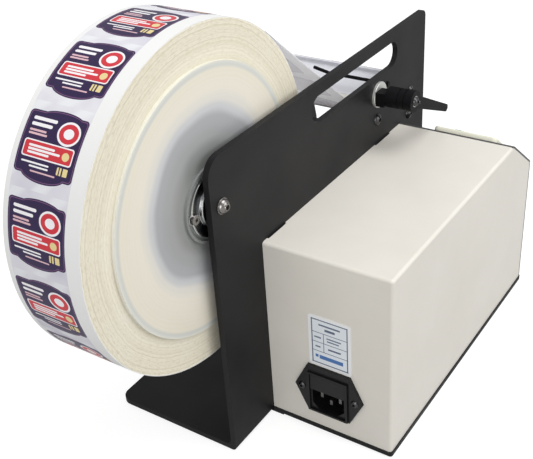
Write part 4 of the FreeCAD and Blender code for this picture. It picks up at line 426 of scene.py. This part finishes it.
def make_web_finish():
    """The web on its way to the front: labels on its top side as far as the nose, bare backing after it."""
    material, tree, shader = new_material("running_web", coat=1.0)
    shader.inputs["Subsurface Weight"].default_value = 0.6
    shader.inputs["Subsurface Scale"].default_value = 0.004
    shader.inputs["Subsurface Radius"].default_value = (1.0, 0.95, 1.0)
    place = object_place(tree)
    parts = separate(tree, place)
    across = math_node(tree, "SUBTRACT", LABEL_MIDDLE_X, parts[0])
    leaves_at = math.radians(WEB_LEAVES_AT)
    next_label = LABEL_FIRST_DEGREES + LABELS_TO_WEB * LABEL_PITCH_DEGREES
    first_run = (next_label - WEB_LEAVES_AT) / LABEL_PITCH_DEGREES * LABEL_PITCH
    first_y = SPINDLE[0] + ROLL_RADIUS * math.cos(leaves_at) - first_run * math.sin(leaves_at)
    from_first = math_node(tree, "SUBTRACT", first_y, parts[1])
    along = place_on_label(tree, math_node(tree, "DIVIDE", from_first, math.sin(leaves_at) * LABEL_PITCH))
    back = mix_colour(tree, spread(tree, noise(tree, place, 30.0), 0.35, 0.65), (0.92, 0.91, 0.95, 1.0),
                      (0.84, 0.83, 0.89, 1.0))
    label = use(tree, LABEL, U=across, V=along, Backing=back)
    dim = math_node(tree, "MULTIPLY", label["Mask"], 0.8)
    back = mix_colour(tree, dim, back, (0.34, 0.33, 0.36, 1.0))
    normal = separate(tree, tree.nodes.new("ShaderNodeNewGeometry").outputs["Normal"])
    upper = math_node(tree, "GREATER_THAN", normal[2], 0.05)
    leaning = math_node(tree, "ADD", parts[2], math_node(tree, "MULTIPLY", parts[1], LABELLED_LEAN))
    high = math_node(tree, "GREATER_THAN", leaning, LABELLED_LIMIT)
    shown = math_node(tree, "MULTIPLY", upper, high)
    tree.links.new(mix_colour(tree, shown, back, label["Colour"]), shader.inputs["Base Color"])
    grain = use(tree, GRAIN, Scale=600.0, Rough_Low=0.42, Rough_High=0.58)
    tree.links.new(grain["Roughness"], shader.inputs["Roughness"])
    bump(tree, shader, math_node(tree, "MULTIPLY", shown, label["Mask"]), 0.0001)
    return material


def make_presented_finish():
    """One label alone, which lies on the slope and stands out at the nose."""
    material, tree, shader = new_material("single_label", specular=0.4)
    middle = (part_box("presented_label")[0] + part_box("presented_label")[1]) / 2
    parts = separate(tree, vector_node(tree, "SUBTRACT", object_place(tree), tuple(middle)))
    slope_share = 1.25
    across = math_node(tree, "MULTIPLY", parts[0], -1.0)
    along = math_node(tree, "MULTIPLY", parts[1], slope_share)
    label = use(tree, LABEL, U=across, V=along, Backing=(0.86, 0.85, 0.84, 1.0))
    normal = separate(tree, tree.nodes.new("ShaderNodeNewGeometry").outputs["Normal"])
    upper = math_node(tree, "GREATER_THAN", normal[2], 0.2)
    colour = mix_colour(tree, upper, (0.82, 0.80, 0.74, 1.0), label["Colour"])
    tree.links.new(colour, shader.inputs["Base Color"])
    grain = use(tree, GRAIN, Scale=600.0, Rough_Low=0.30, Rough_High=0.40)
    tree.links.new(grain["Roughness"], shader.inputs["Roughness"])
    bump(tree, shader, label["Mask"], 0.00008)
    return material


def make_disc_finish():
    """Milky plastic in front of the roll, with painted light and shade: the shaded hollow of the core shows
    through as a grey-blue ring, darkened by painted shade near the plate and flange, with a painted highlight
    ring round the flange and a painted light halo at the ring's edge.
    """
    material, tree, shader = new_material("milky_disc", coat=0.35)
    lathe = wound_edges(tree)
    cloud = noise(tree, object_place(tree), 15.0, 2.0)
    raised = vector_node(tree, "SUBTRACT", object_place(tree), (0.0, SPINDLE[0], SPINDLE[1] + ZONE_RISE))
    parts = separate(tree, raised)
    zone = vector_node(tree, "LENGTH", combine(tree, 0.0, parts[1], parts[2]))
    ramp = tree.nodes.new("ShaderNodeValToRGB")
    ramp.color_ramp.interpolation = "EASE"
    # Painted light and shade in this ramp: a painted highlight ring round the flange (0.234 to 0.243),
    # painted shade near the plate and flange (0.256 to 0.45), the grey ring of the core's shaded hollow, and
    # a painted light halo at its edge (0.635). From 0.69 outward it is the disc's own cream, with a darker
    # line near the rim.
    colour_and_painted_light_stops = [
        (0.0, (0.30, 0.31, 0.31)), (0.234, (0.60, 0.62, 0.61)), (0.243, (0.66, 0.68, 0.67)),
        (0.256, (0.20, 0.21, 0.205)), (0.33, (0.25, 0.26, 0.255)), (0.45, (0.34, 0.35, 0.355)),
        (0.57, (0.38, 0.39, 0.41)), (0.635, (0.57, 0.58, 0.595)), (0.69, (0.72, 0.70, 0.645)),
        (0.77, (0.79, 0.75, 0.65)), (0.945, (0.78, 0.74, 0.63)), (0.972, (0.62, 0.635, 0.60)),
        (1.0, (0.72, 0.72, 0.66)),
    ]
    while len(ramp.color_ramp.elements) < len(colour_and_painted_light_stops):
        ramp.color_ramp.elements.new(0.5)
    for element, (spot, colour) in zip(ramp.color_ramp.elements, colour_and_painted_light_stops):
        element.position = spot
        element.color = rgba(colour)
    inner = spread(tree, lathe["Radius"], 0.026, 0.036)
    outer = spread(tree, lathe["Radius"], 0.066, 0.078, 1.0, 0.0)
    middle = math_node(tree, "MULTIPLY", inner, outer)
    shift = math_node(tree, "SUBTRACT", zone, lathe["Radius"])
    shift = math_node(tree, "ADD", shift, spread(tree, cloud, 0.3, 0.7, -0.003, 0.003))
    seen = math_node(tree, "ADD", lathe["Radius"], math_node(tree, "MULTIPLY", shift, middle))
    tree.links.new(math_node(tree, "DIVIDE", seen, DISC_RADIUS), ramp.inputs[0])
    through = mix_colour(tree, spread(tree, lathe["Rings"], 0.40, 0.62), (0.97, 0.96, 0.94, 1.0),
                         (1.0, 1.0, 1.0, 1.0))
    tint = mix_colour(tree, 1.0, ramp.outputs[0], through)
    tint.node.blend_type = "MULTIPLY"
    tree.links.new(tint, shader.inputs["Base Color"])
    tree.links.new(spread(tree, cloud, 0.3, 0.7, 0.30, 0.42), shader.inputs["Roughness"])
    bump(tree, shader, lathe["Rings"], 0.00004, 0.3)
    return material


def make_sticker_finish():
    """A bare rating sticker: a ruled frame with empty boxes and a plain blue bar."""
    material, tree, shader = new_material("ruled_sticker", coat=0.2)
    low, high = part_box("rating_plate")
    parts = separate(tree, vector_node(tree, "SUBTRACT", object_place(tree), tuple((low + high) / 2)))
    half_x, half_z = (high.x - low.x) / 2, (high.z - low.z) / 2

    def line(value, at, half):
        return math_node(tree, "COMPARE", value, at, half)

    wide = math_node(tree, "ABSOLUTE", parts[0])
    tall = math_node(tree, "ABSOLUTE", parts[2])
    in_wide = math_node(tree, "LESS_THAN", wide, half_x - 0.0022)
    in_tall = math_node(tree, "LESS_THAN", tall, half_z - 0.0024)
    framed = math_node(tree, "MULTIPLY", in_wide, in_tall)
    rim = math_node(tree, "MAXIMUM", line(wide, half_x - 0.0027, 0.0004), line(tall, half_z - 0.0029, 0.0004))
    for share in (0.36, -0.02, -0.38):
        rim = math_node(tree, "MAXIMUM", rim, line(parts[2], half_z * share, 0.00024))
    column = math_node(tree, "MULTIPLY", line(parts[0], half_x * 0.28, 0.00024),
                       line(parts[2], half_z * -0.01, half_z * 0.37))
    rim = math_node(tree, "MULTIPLY", math_node(tree, "MAXIMUM", rim, column), framed)

    def stroke(across, up, half_long, half_high):
        """A plain bar in place of print. Lengths are shares of the sticker's half sizes."""
        return math_node(tree, "MULTIPLY", line(parts[0], -half_x * across, half_x * half_long),
                         line(parts[2], half_z * up, half_z * half_high))

    print_mask = stroke(0.0, 0.68, 0.50, 0.030)
    for bar in ((0.02, 0.52, 0.24, 0.045), (-0.56, 0.17, 0.16, 0.028), (0.20, 0.22, 0.34, 0.024),
                (0.16, 0.11, 0.28, 0.024), (-0.56, -0.20, 0.12, 0.028), (0.22, -0.20, 0.30, 0.034)):
        print_mask = math_node(tree, "MAXIMUM", print_mask, stroke(*bar))
    bar = math_node(tree, "MAXIMUM", stroke(0.06, -0.60, 0.56, 0.075), stroke(-0.62, -0.58, 0.07, 0.055))
    colour = mix_colour(tree, framed, (0.84, 0.85, 0.86, 1.0), (0.76, 0.81, 0.86, 1.0))
    colour = mix_colour(tree, rim, colour, (0.07, 0.10, 0.17, 1.0))
    colour = mix_colour(tree, print_mask, colour, (0.09, 0.12, 0.19, 1.0))
    colour = mix_colour(tree, bar, colour, (0.05, 0.16, 0.42, 1.0))
    tree.links.new(colour, shader.inputs["Base Color"])
    grain = use(tree, GRAIN, Scale=700.0, Rough_Low=0.34, Rough_High=0.42)
    tree.links.new(grain["Roughness"], shader.inputs["Roughness"])
    bump(tree, shader, grain["Height"], 0.00002)
    return material


def make_flange_finish():
    """Dark turned metal with painted highlights on the bead at its rim and on the step round its raised
    middle, and near black inside the raised middle.
    """
    material, tree, shader = new_material("turned_flange", metallic=1.0)
    lathe = use(tree, TURNED, Axis=(0.0, *SPINDLE), Rings=LATHE_RINGS)
    # Painted highlights: the bead at the rim and the step round the raised middle are coloured pale.
    rim = math_node(tree, "GREATER_THAN", lathe["Radius"], FLANGE_RIM)
    step = math_node(tree, "COMPARE", lathe["Radius"], FLANGE_STEP, FLANGE_STEP_HALF)
    painted_highlight = math_node(tree, "MAXIMUM", rim, step)
    shade = mix_colour(tree, spread(tree, lathe["Rings"], 0.3, 0.7), (0.10, 0.105, 0.115, 1.0),
                       (0.22, 0.225, 0.235, 1.0))
    # Coloured near black inside the raised middle.
    inside = math_node(tree, "LESS_THAN", lathe["Radius"], FLANGE_DARK_MIDDLE)
    shade = mix_colour(tree, inside, shade, (0.03, 0.03, 0.032, 1.0))
    tree.links.new(mix_colour(tree, painted_highlight, shade, (0.66, 0.67, 0.66, 1.0)), shader.inputs["Base Color"])
    tree.links.new(spread(tree, lathe["Rings"], 0.3, 0.7, 0.18, 0.34), shader.inputs["Roughness"])
    bump(tree, shader, lathe["Rings"], 0.00002)
    return material


def make_card_finish():
    """Wound cardboard: brown fibres with the edges of its plies."""
    material, tree, shader = new_material("wound_card", specular=0.3)
    lathe = use(tree, TURNED, Axis=(0.0, *SPINDLE), Rings=CARD_RINGS)
    fibre = noise(tree, object_place(tree), 420.0, 4.0)
    both = math_node(tree, "MULTIPLY", math_node(tree, "ADD", lathe["Rings"], fibre), 0.5)
    colour = mix_colour(tree, spread(tree, both, 0.35, 0.65), (0.30, 0.20, 0.11, 1.0),
                        (0.52, 0.39, 0.24, 1.0))
    tree.links.new(colour, shader.inputs["Base Color"])
    tree.links.new(spread(tree, fibre, 0.3, 0.7, 0.75, 0.9), shader.inputs["Roughness"])
    bump(tree, shader, both, 0.0002)
    return material


PLATE = grained("black_powder", (0.0060, 0.0060, 0.0072), (0.0085, 0.0085, 0.0098), (0.46, 0.58), 1100.0,
                depth=0.00005, specks=0.3, specular=0.25)
CREAM = grained("cream_powder", (0.74, 0.71, 0.65), (0.705, 0.675, 0.615), (0.36, 0.48), 700.0, 0.00005)
DARK_SHEET = grained("dark_powder", (0.05, 0.05, 0.05), (0.065, 0.065, 0.065), (0.4, 0.5), 1100.0,
                     depth=0.00005, specks=0.2)
BEZEL = grained("cream_moulding", (0.80, 0.79, 0.66), (0.76, 0.75, 0.62), (0.38, 0.46), 1400.0, 0.00004)
INLET = grained("inlet_moulding", (0.007, 0.007, 0.008), (0.011, 0.011, 0.012), (0.30, 0.40), 1300.0, 0.00003,
                specular=0.3)
BLACK_MOULDING = grained("black_moulding", (0.02, 0.02, 0.021), (0.028, 0.028, 0.029), (0.34, 0.46), 1300.0)
BLACK_METAL = grained("black_lever_coat", (0.004, 0.004, 0.005), (0.007, 0.007, 0.008), (0.48, 0.60), 1200.0,
                      specular=0.10)
WHITE_MOULDING = grained("white_moulding", (0.74, 0.73, 0.70), (0.68, 0.67, 0.63), (0.32, 0.42), 1200.0,
                         depth=0.00003)
RUBBER = grained("black_rubber", (0.022, 0.022, 0.022), (0.034, 0.034, 0.033), (0.7, 0.85), 1500.0,
                 depth=0.0001, specks=0.4)
GREY_RUBBER = grained("grey_rubber", (0.10, 0.10, 0.10), (0.13, 0.13, 0.128), (0.62, 0.8), 1500.0,
                      depth=0.0001, specks=0.4)
BOARD = grained("solder_resist", (0.012, 0.13, 0.045), (0.02, 0.19, 0.07), (0.28, 0.38), 500.0, 0.00008, 0.9)
BOARD_PIECE = grained("component_moulding", (0.025, 0.025, 0.028), (0.05, 0.05, 0.055), (0.4, 0.5), 900.0)
BUTTON = grained("green_button", (0.03, 0.30, 0.08), (0.025, 0.25, 0.07), (0.22, 0.3), 1200.0,
                 depth=0.00002, coat=0.3)
LENS = grained("red_lens", (0.50, 0.02, 0.02), (0.40, 0.015, 0.015), (0.10, 0.16), 600.0, 0.00001, coat=0.8)
STEEL = brushed("ground_bar", (0.62, 0.62, 0.62))
SHEET_STEEL = brushed("rolled_sheet", (0.66, 0.66, 0.67), (40.0, 1600.0, 1600.0), (0.26, 0.40))
# The hold-down flap is steel; its pale lilac colour is a painted reflection of its white surroundings.
FLAP = grained("flap_painted_reflection", (0.84, 0.85, 0.90), (0.74, 0.75, 0.80), (0.24, 0.34), 800.0,
               depth=0.00003, coat=0.6)
ALLOY = brushed("cast_alloy", (0.52, 0.52, 0.53), (700.0, 700.0, 700.0), (0.42, 0.58), 0.00008)
CAN = brushed("drawn_can", (0.42, 0.42, 0.44), (60.0, 1200.0, 1200.0), (0.28, 0.42))
SUPPLY = brushed("supply_sheet", (0.60, 0.60, 0.60), (1400.0, 40.0, 1400.0), (0.34, 0.48))
ZINC = brushed("zinc_plate", (0.31, 0.295, 0.285), (900.0, 900.0, 900.0), (0.22, 0.34), 0.00001)
# The inlet's plated pins are coloured dark grey as painted shade, for their place deep in the socket.
PIN_METAL = brushed("pin_plate_painted_shade", (0.20, 0.20, 0.19), (900.0, 900.0, 900.0), (0.34, 0.46), 0.00001)
BLACK_OXIDE = brushed("black_oxide", (0.085, 0.085, 0.088), (900.0, 900.0, 900.0), (0.22, 0.34), 0.00001)
SPRING = brushed("drawn_wire", (0.48, 0.48, 0.49), (1500.0, 1500.0, 1500.0), (0.25, 0.38), 0.00001)
BRASS = brushed("turned_brass", (0.68, 0.48, 0.20), (900.0, 900.0, 900.0), (0.22, 0.34), 0.00001)
SPINDLE_STEEL = turned("turned_spindle", (0.60, 0.60, 0.61), SPINDLE)
COLLAR = turned("turned_collar", (0.55, 0.55, 0.56), SPINDLE)
BEARING = turned("bearing_ring", (0.62, 0.62, 0.64), SPINDLE, rough=(0.10, 0.22))
BUSH = turned("turned_bush", (0.74, 0.74, 0.71), LEVER, metallic=0.6, rough=(0.3, 0.42))

FINISHES = {
    PLATE: ["main_frame", "base_tray", "end_plate"],
    CREAM: ["box_cover"],
    DARK_SHEET: ["front_panel"],
    BEZEL: ["control_bezel"],
    INLET: ["inlet_housing", "fuse_drawer"],
    PIN_METAL: ["inlet_pins"],
    BLACK_MOULDING: ["rocker_housing", "power_rocker", "speed_knob", "sensor_block"],
    BLACK_METAL: ["lever_hub", "release_lever", "hold_down_rod"],
    WHITE_MOULDING: ["core_hub", "guide_roller"],
    RUBBER: ["drive_sleeve", "foot_pads"],
    GREY_RUBBER: ["pinch_roller"],
    BOARD: ["control_board"],
    BOARD_PIECE: ["board_parts"],
    BUTTON: ["feed_button"],
    LENS: ["indicator_lens"],
    STEEL: ["tie_bars", "pinch_rod", "guide_axle", "drive_core", "pinch_axle", "lever_shaft"],
    SHEET_STEEL: ["peel_platform", "pinch_arm"],
    FLAP: ["hold_down_flap"],
    ALLOY: ["gearbox"],
    CAN: ["motor_can", "knob_pot"],
    SUPPLY: ["power_supply"],
    SPRING: ["pinch_spring"],
    BRASS: ["board_posts", "thumb_screw"],
    SPINDLE_STEEL: ["spindle"],
    COLLAR: ["locking_collar"],
    BEARING: ["hub_bearings"],
    BUSH: ["lever_bush"],
    make_roll_finish(): ["label_roll"],
    make_web_finish(): ["label_web"],
    make_presented_finish(): ["presented_label"],
    make_disc_finish(): ["inner_disc", "outer_disc"],
    make_sticker_finish(): ["rating_plate"],
    make_card_finish(): ["roll_core"],
}
for finish, names in FINISHES.items():
    for name in names:
        for slot in NODES[name].material_slots:
            slot.material = finish


# Screws with hexagon sockets, and the flange behind the roll

def finish_mesh(name, mesh, finish, body, smooth=30.0):
    """Turn a bmesh into a piece that rides on a body. Edges over the smooth angle (degrees) stay sharp."""
    bmesh.ops.remove_doubles(mesh, verts=mesh.verts, dist=0.000002)
    bmesh.ops.recalc_face_normals(mesh, faces=mesh.faces)
    data = bpy.data.meshes.new(name)
    mesh.to_mesh(data)
    mesh.free()
    piece = bpy.data.objects.new(name, data)
    bpy.context.scene.collection.objects.link(piece)
    data.materials.append(finish)
    data.shade_smooth()
    data.set_sharp_from_angle(angle=math.radians(smooth))
    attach(piece, body)
    return piece


def add_turned(mesh, outline, steps=28):
    """Spin an outline of (along, radius) in mm round the Z axis into the mesh. Returns its new vertices."""
    before = set(mesh.verts)
    corners = [mesh.verts.new((radius / 1000, 0.0, along / 1000)) for along, radius in outline]
    edges = [mesh.edges.new(pair) for pair in zip(corners, corners[1:])]
    bmesh.ops.spin(
        mesh, geom=corners + edges, cent=(0, 0, 0), axis=(0, 0, 1), angle=math.tau, steps=steps,
        use_merge=True,
    )
    return [vert for vert in mesh.verts if vert not in before]


def add_socket_screw(mesh, place, axis, head, high, shank, length, socket, flat=False):
    """A screw at a place (mm) whose domed or flat head stands out along axis, with a hexagon socket."""
    start = set(mesh.verts)
    rim = socket * 1.22
    if flat:
        outline = [(high, rim), (high, head - 0.25), (high - 0.25, head), (0.0, head), (0.0, shank)]
    else:
        dome = [(high * math.sin(turn), head * math.cos(turn)) for turn in (1.0, 0.8, 0.6, 0.4, 0.2, 0.0)]
        outline = [(high, rim)] + [(along, max(radius, rim)) for along, radius in dome if radius > rim]
        outline += [(0.0, head), (0.0, shank)]
    outline += [(-length + 0.3, shank), (-length, shank - 0.3), (-length, 0.0)]
    add_turned(mesh, outline)
    ring = [
        mesh.verts.new((socket * math.cos(turn) / 1000, socket * math.sin(turn) / 1000, high / 1000))
        for turn in [math.tau * index / 6 for index in range(6)]
    ]
    outer = [vert for vert in mesh.verts if vert not in start and vert not in ring
             and abs(vert.co.z - high / 1000) < 1e-7 and abs(vert.co.xy.length - rim / 1000) < 1e-6]
    hexagon = mesh.faces.new(ring)
    deep = bmesh.ops.extrude_discrete_faces(mesh, faces=[hexagon])["faces"]
    bmesh.ops.translate(mesh, verts=deep[0].verts, vec=(0, 0, -high * 0.62 / 1000))
    walls = [edge for edge in mesh.edges if set(edge.verts) <= set(ring)]
    lip = [edge for edge in mesh.edges if set(edge.verts) <= set(outer) and len(edge.link_faces) == 1]
    bmesh.ops.bridge_loops(mesh, edges=walls + lip)
    turn = Vector((0, 0, 1)).rotation_difference(Vector(axis)).to_matrix().to_4x4()
    here = Matrix.Translation(Vector(place) / 1000) @ turn
    bmesh.ops.transform(mesh, matrix=here, verts=[vert for vert in mesh.verts if vert not in start])


def screw_set(name, node, finish, body, screws):
    mesh = bmesh.new()
    for screw in screws:
        add_socket_screw(mesh, *screw)
    piece = finish_mesh(name, mesh, finish, body)
    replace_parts(piece, node)
    return piece


def around_spindle(circle, angle):
    """The place (y, z) in mm at an angle on a circle round the spindle."""
    turn = math.radians(angle)
    return SPINDLE[0] * 1000 + circle * math.cos(turn), SPINDLE[1] * 1000 + circle * math.sin(turn)


def lay_along_x(mesh, parts, place, side):
    """Lay vertices turned round the Z axis along X at a place (m), upper end to +X or -X (side 1 or -1)."""
    laid = Matrix.Translation(place) @ Matrix.Rotation(side * math.pi / 2, 4, "Y")
    bmesh.ops.transform(mesh, verts=parts, matrix=laid)


# Directions that heads face, and head sizes in mm: radius, height, and the shank's radius.
AWAY, TOWARD, REAR = (-1, 0, 0), (1, 0, 0), (0, 1, 0)
BUTTON_HEAD, BUTTON_SOCKET = (4.6, 2.2, 2.0), 1.6
TIE_HEAD, TIE_SOCKET = (3.5, 1.6, 2.0), 1.4
SMALL_HEAD, SMALL_SOCKET = (2.8, 1.6, 1.4), 1.1
FLANGE_HEAD, FLANGE_SOCKET = (3.3, 1.9, 1.8), 1.5
LEVER_HEAD, LEVER_SOCKET = (3.5, 2.2, 1.4), 1.5
SIDE_HEAD, SIDE_SOCKET = (1.4, 0.8, 1.0), 0.6

# Places in mm, (y, z), of the screws that run along X.
PLATE_FAR, END_FAR = 4.0, 102.3
FLANGE_PLACE, PIVOT_PLACE = (-156.5, 160.9), (-209.2, 144.3)
TIE_PLACE, LOW_PLACE = (-211.7, 162.9), (-226.0, 100.0)
TRAY_SCREWS = [(-23.5, 15.0), (-86.9, 15.0), (-147.9, 15.0), (-211.3, 15.0)]
GEARBOX_SCREWS = [(-187.0, 112.5), (-213.0, 112.5), (-200.0, 90.0)]
BOARD_SCREWS = [(-47.0, 57.0), (-47.0, 109.0), (-127.0, 57.0), (-127.0, 109.0)]

screw_set("plate_socket_screws", "plate_screws", BLACK_OXIDE, "frame", [
    ((0.0, *FLANGE_PLACE), AWAY, *BUTTON_HEAD, 6.0, BUTTON_SOCKET),
    ((0.0, *PIVOT_PLACE), AWAY, *BUTTON_HEAD, 12.0, BUTTON_SOCKET),
])
screw_set("tie_socket_screws", "tie_screws", BLACK_OXIDE, "frame", [
    ((0.0, *place), AWAY, *TIE_HEAD, 12.0, TIE_SOCKET) for place in (TIE_PLACE, LOW_PLACE)
] + [
    ((END_FAR, *place), TOWARD, *TIE_HEAD, 11.0, TIE_SOCKET) for place in (TIE_PLACE, LOW_PLACE, PIVOT_PLACE)
])
screw_set("small_socket_screws", "small_screws", BLACK_OXIDE, "frame", [
    ((PLATE_FAR, *place), TOWARD, *SMALL_HEAD, 6.0, SMALL_SOCKET) for place in TRAY_SCREWS
] + [
    ((PLATE_FAR, *place), TOWARD, *SMALL_HEAD, 9.0, SMALL_SOCKET) for place in GEARBOX_SCREWS + BOARD_SCREWS
])

# The spindle's screw stands on a washer.
WASHER_THICK, WASHER_BORE, WASHER_RADIUS, WASHER_ROUND = 0.8, 3.05, 5.2, 0.25
mesh = bmesh.new()
add_socket_screw(mesh, (-WASHER_THICK, *around_spindle(0.0, 0.0)), AWAY, 4.6, 3.2, 3.0, 12.8, 1.9)
washer = add_turned(mesh, [
    (0.0, WASHER_BORE), (WASHER_THICK, WASHER_BORE), (WASHER_THICK, WASHER_RADIUS - WASHER_ROUND),
    (WASHER_THICK - WASHER_ROUND, WASHER_RADIUS), (WASHER_ROUND, WASHER_RADIUS),
    (0.0, WASHER_RADIUS - WASHER_ROUND), (0.0, WASHER_BORE),
])
lay_along_x(mesh, washer, (-WASHER_THICK / 1000, *SPINDLE), 1)
spindle_set = finish_mesh("spindle_socket_screw", mesh, ZINC, "frame")
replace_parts(spindle_set, "spindle_screw")

# The flange: a turned collar with a step, and three lobes under its screws. Sizes are in mm.
FLANGE_SCREW_ANGLES = (-4, 116, 236)
FLANGE_BACK = 8.3
SPINDLE_BORE = 6.3
screw_set("flange_socket_screws", "flange_screws", ZINC, "spool", [
    ((6.7, *around_spindle(18.5, angle)), AWAY, *FLANGE_HEAD, 3.2, FLANGE_SOCKET, True)
    for angle in FLANGE_SCREW_ANGLES
])
mesh = bmesh.new()
collar = add_turned(mesh, [
    (0.0, SPINDLE_BORE), (3.6, SPINDLE_BORE), (3.8, SPINDLE_BORE + 0.2), (3.8, 12.8), (3.6, 13.2),
    (1.9, 13.5), (1.6, 13.8), (1.6, 19.3), (1.9, 19.6), (1.9, 20.3), (1.6, 20.6), (0.0, 20.6),
    (0.0, SPINDLE_BORE),
], 96)
lay_along_x(mesh, collar, (FLANGE_BACK / 1000, *SPINDLE), -1)
for angle in FLANGE_SCREW_ANGLES:
    lobe = add_turned(mesh, [(0.0, 0.0), (1.3, 0.0), (1.3, 3.9), (1.1, 4.1), (0.0, 4.1), (0.0, 0.0)], 40)
    y, z = around_spindle(18.2, angle)
    lay_along_x(mesh, lobe, (FLANGE_BACK / 1000, y / 1000, z / 1000), -1)
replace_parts(finish_mesh("flange_collar", mesh, make_flange_finish(), "spool"),
            "spindle_flange")

# The lever's screws: one in the shaft's end, and a small one beside it, toward the handle.
LEVER_PLACE, LEVER_FACE = (-158.0, 180.3), -29.55
LEVER_RUN, LEVER_DROP, SIDE_APART = 55.5, 27.6, 7.8
side_share = SIDE_APART / math.hypot(LEVER_RUN, LEVER_DROP)
side_place = (LEVER_PLACE[0] - side_share * LEVER_RUN, LEVER_PLACE[1] - side_share * LEVER_DROP)
screw_set("lever_socket_screws", "lever_screws", BLACK_OXIDE, "lever", [
    ((LEVER_FACE, *LEVER_PLACE), AWAY, *LEVER_HEAD, 5.0, LEVER_SOCKET),
    ((LEVER_FACE, *side_place), AWAY, *SIDE_HEAD, 3.0, SIDE_SOCKET),
])

INLET_PLACE, INLET_SCREW_HALF = (-46.5, 2.8, 37.5), 20
screw_set("inlet_head_screws", "inlet_screws", BLACK_OXIDE, "frame", [
    ((INLET_PLACE[0] + side, *INLET_PLACE[1:]), REAR, *SMALL_HEAD, 7.8, SMALL_SOCKET)
    for side in (-INLET_SCREW_HALF, INLET_SCREW_HALF)
])


# Lights, floor and camera

def make_floor():
    mesh = bmesh.new()
    bmesh.ops.create_grid(mesh, x_segments=1, y_segments=1, size=6.0)
    data = bpy.data.meshes.new("floor")
    mesh.to_mesh(data)
    mesh.free()
    floor = bpy.data.objects.new("floor", data)
    bpy.context.scene.collection.objects.link(floor)
    material = bpy.data.materials.new("pale_floor")
    material.use_nodes = True
    tree = material.node_tree
    shader = tree.nodes["Principled BSDF"]
    shader.inputs["Roughness"].default_value = 0.9
    shader.inputs["Base Color"].default_value = (0.32, 0.32, 0.32, 1.0)
    rays = tree.nodes.new("ShaderNodeLightPath")
    mirrored = math_node(tree, "MULTIPLY", rays.outputs["Is Glossy Ray"], 0.4)
    seen = math_node(tree, "MAXIMUM", rays.outputs["Is Camera Ray"], mirrored)
    seen = math_node(tree, "MAXIMUM", seen, rays.outputs["Is Transmission Ray"])
    shader.inputs["Emission Color"].default_value = (1.0, 1.0, 1.0, 1.0)
    tree.links.new(math_node(tree, "MULTIPLY", seen, 0.80), shader.inputs["Emission Strength"])
    data.materials.append(material)


def make_world():
    world = bpy.data.worlds.new("studio")
    bpy.context.scene.world = world
    world.use_nodes = True
    tree = world.node_tree
    back = tree.nodes["Background"]
    rays = tree.nodes.new("ShaderNodeLightPath")
    seen = math_node(tree, "MAXIMUM", rays.outputs["Is Camera Ray"], rays.outputs["Is Transmission Ray"])
    back.inputs["Color"].default_value = (1.0, 1.0, 1.0, 1.0)
    tree.links.new(math_node(tree, "ADD", math_node(tree, "MULTIPLY", seen, 0.46), 0.54),
                   back.inputs["Strength"])


def soft_light(name, place, aim, size, power, colour=(1.0, 1.0, 1.0)):
    light = bpy.data.lights.new(name, "AREA")
    light.shape = "RECTANGLE"
    light.size, light.size_y = size
    light.energy = power
    light.color = colour
    lamp = bpy.data.objects.new(name, light)
    bpy.context.scene.collection.objects.link(lamp)
    lamp.location = place
    lamp.rotation_euler = (Vector(aim) - Vector(place)).to_track_quat("-Z", "Y").to_euler()


make_floor()
make_world()
soft_light("key", (-0.45, -0.25, 1.3), (0.0, -0.05, 0.12), (0.9, 0.9), 9.8)
soft_light("side", (-1.2, -0.5, 0.5), (0.0, -0.1, 0.12), (0.8, 0.8), 5.0)
soft_light("rear", (-0.35, 1.2, 0.5), (0.0, 0.0, 0.15), (0.8, 0.8), 6.4)

# The camera as fitted to the photo: its place, and its right, upward and backward directions.
CAMERA_PLACE = (-0.29137, 0.40407, 0.45811)
CAMERA_RIGHT = (-0.83444944, -0.54777343, -0.06031921)
CAMERA_UP = (0.24551258, -0.46751338, 0.84920834)
CAMERA_BACK = (-0.4933738, 0.6938123, 0.52460155)
camera = bpy.data.objects.new("camera", bpy.data.cameras.new("camera"))
bpy.context.scene.collection.objects.link(camera)
camera.data.sensor_fit = "HORIZONTAL"
camera.data.sensor_width = 36.0
camera.data.lens = 63.03
camera.data.clip_start = 0.02
turned_to = Matrix((CAMERA_RIGHT, CAMERA_UP, CAMERA_BACK)).transposed().to_4x4()
camera.matrix_world = Matrix.Translation(CAMERA_PLACE) @ turned_to
bpy.context.scene.camera = camera
bpy.context.scene.view_settings.view_transform = "Standard"
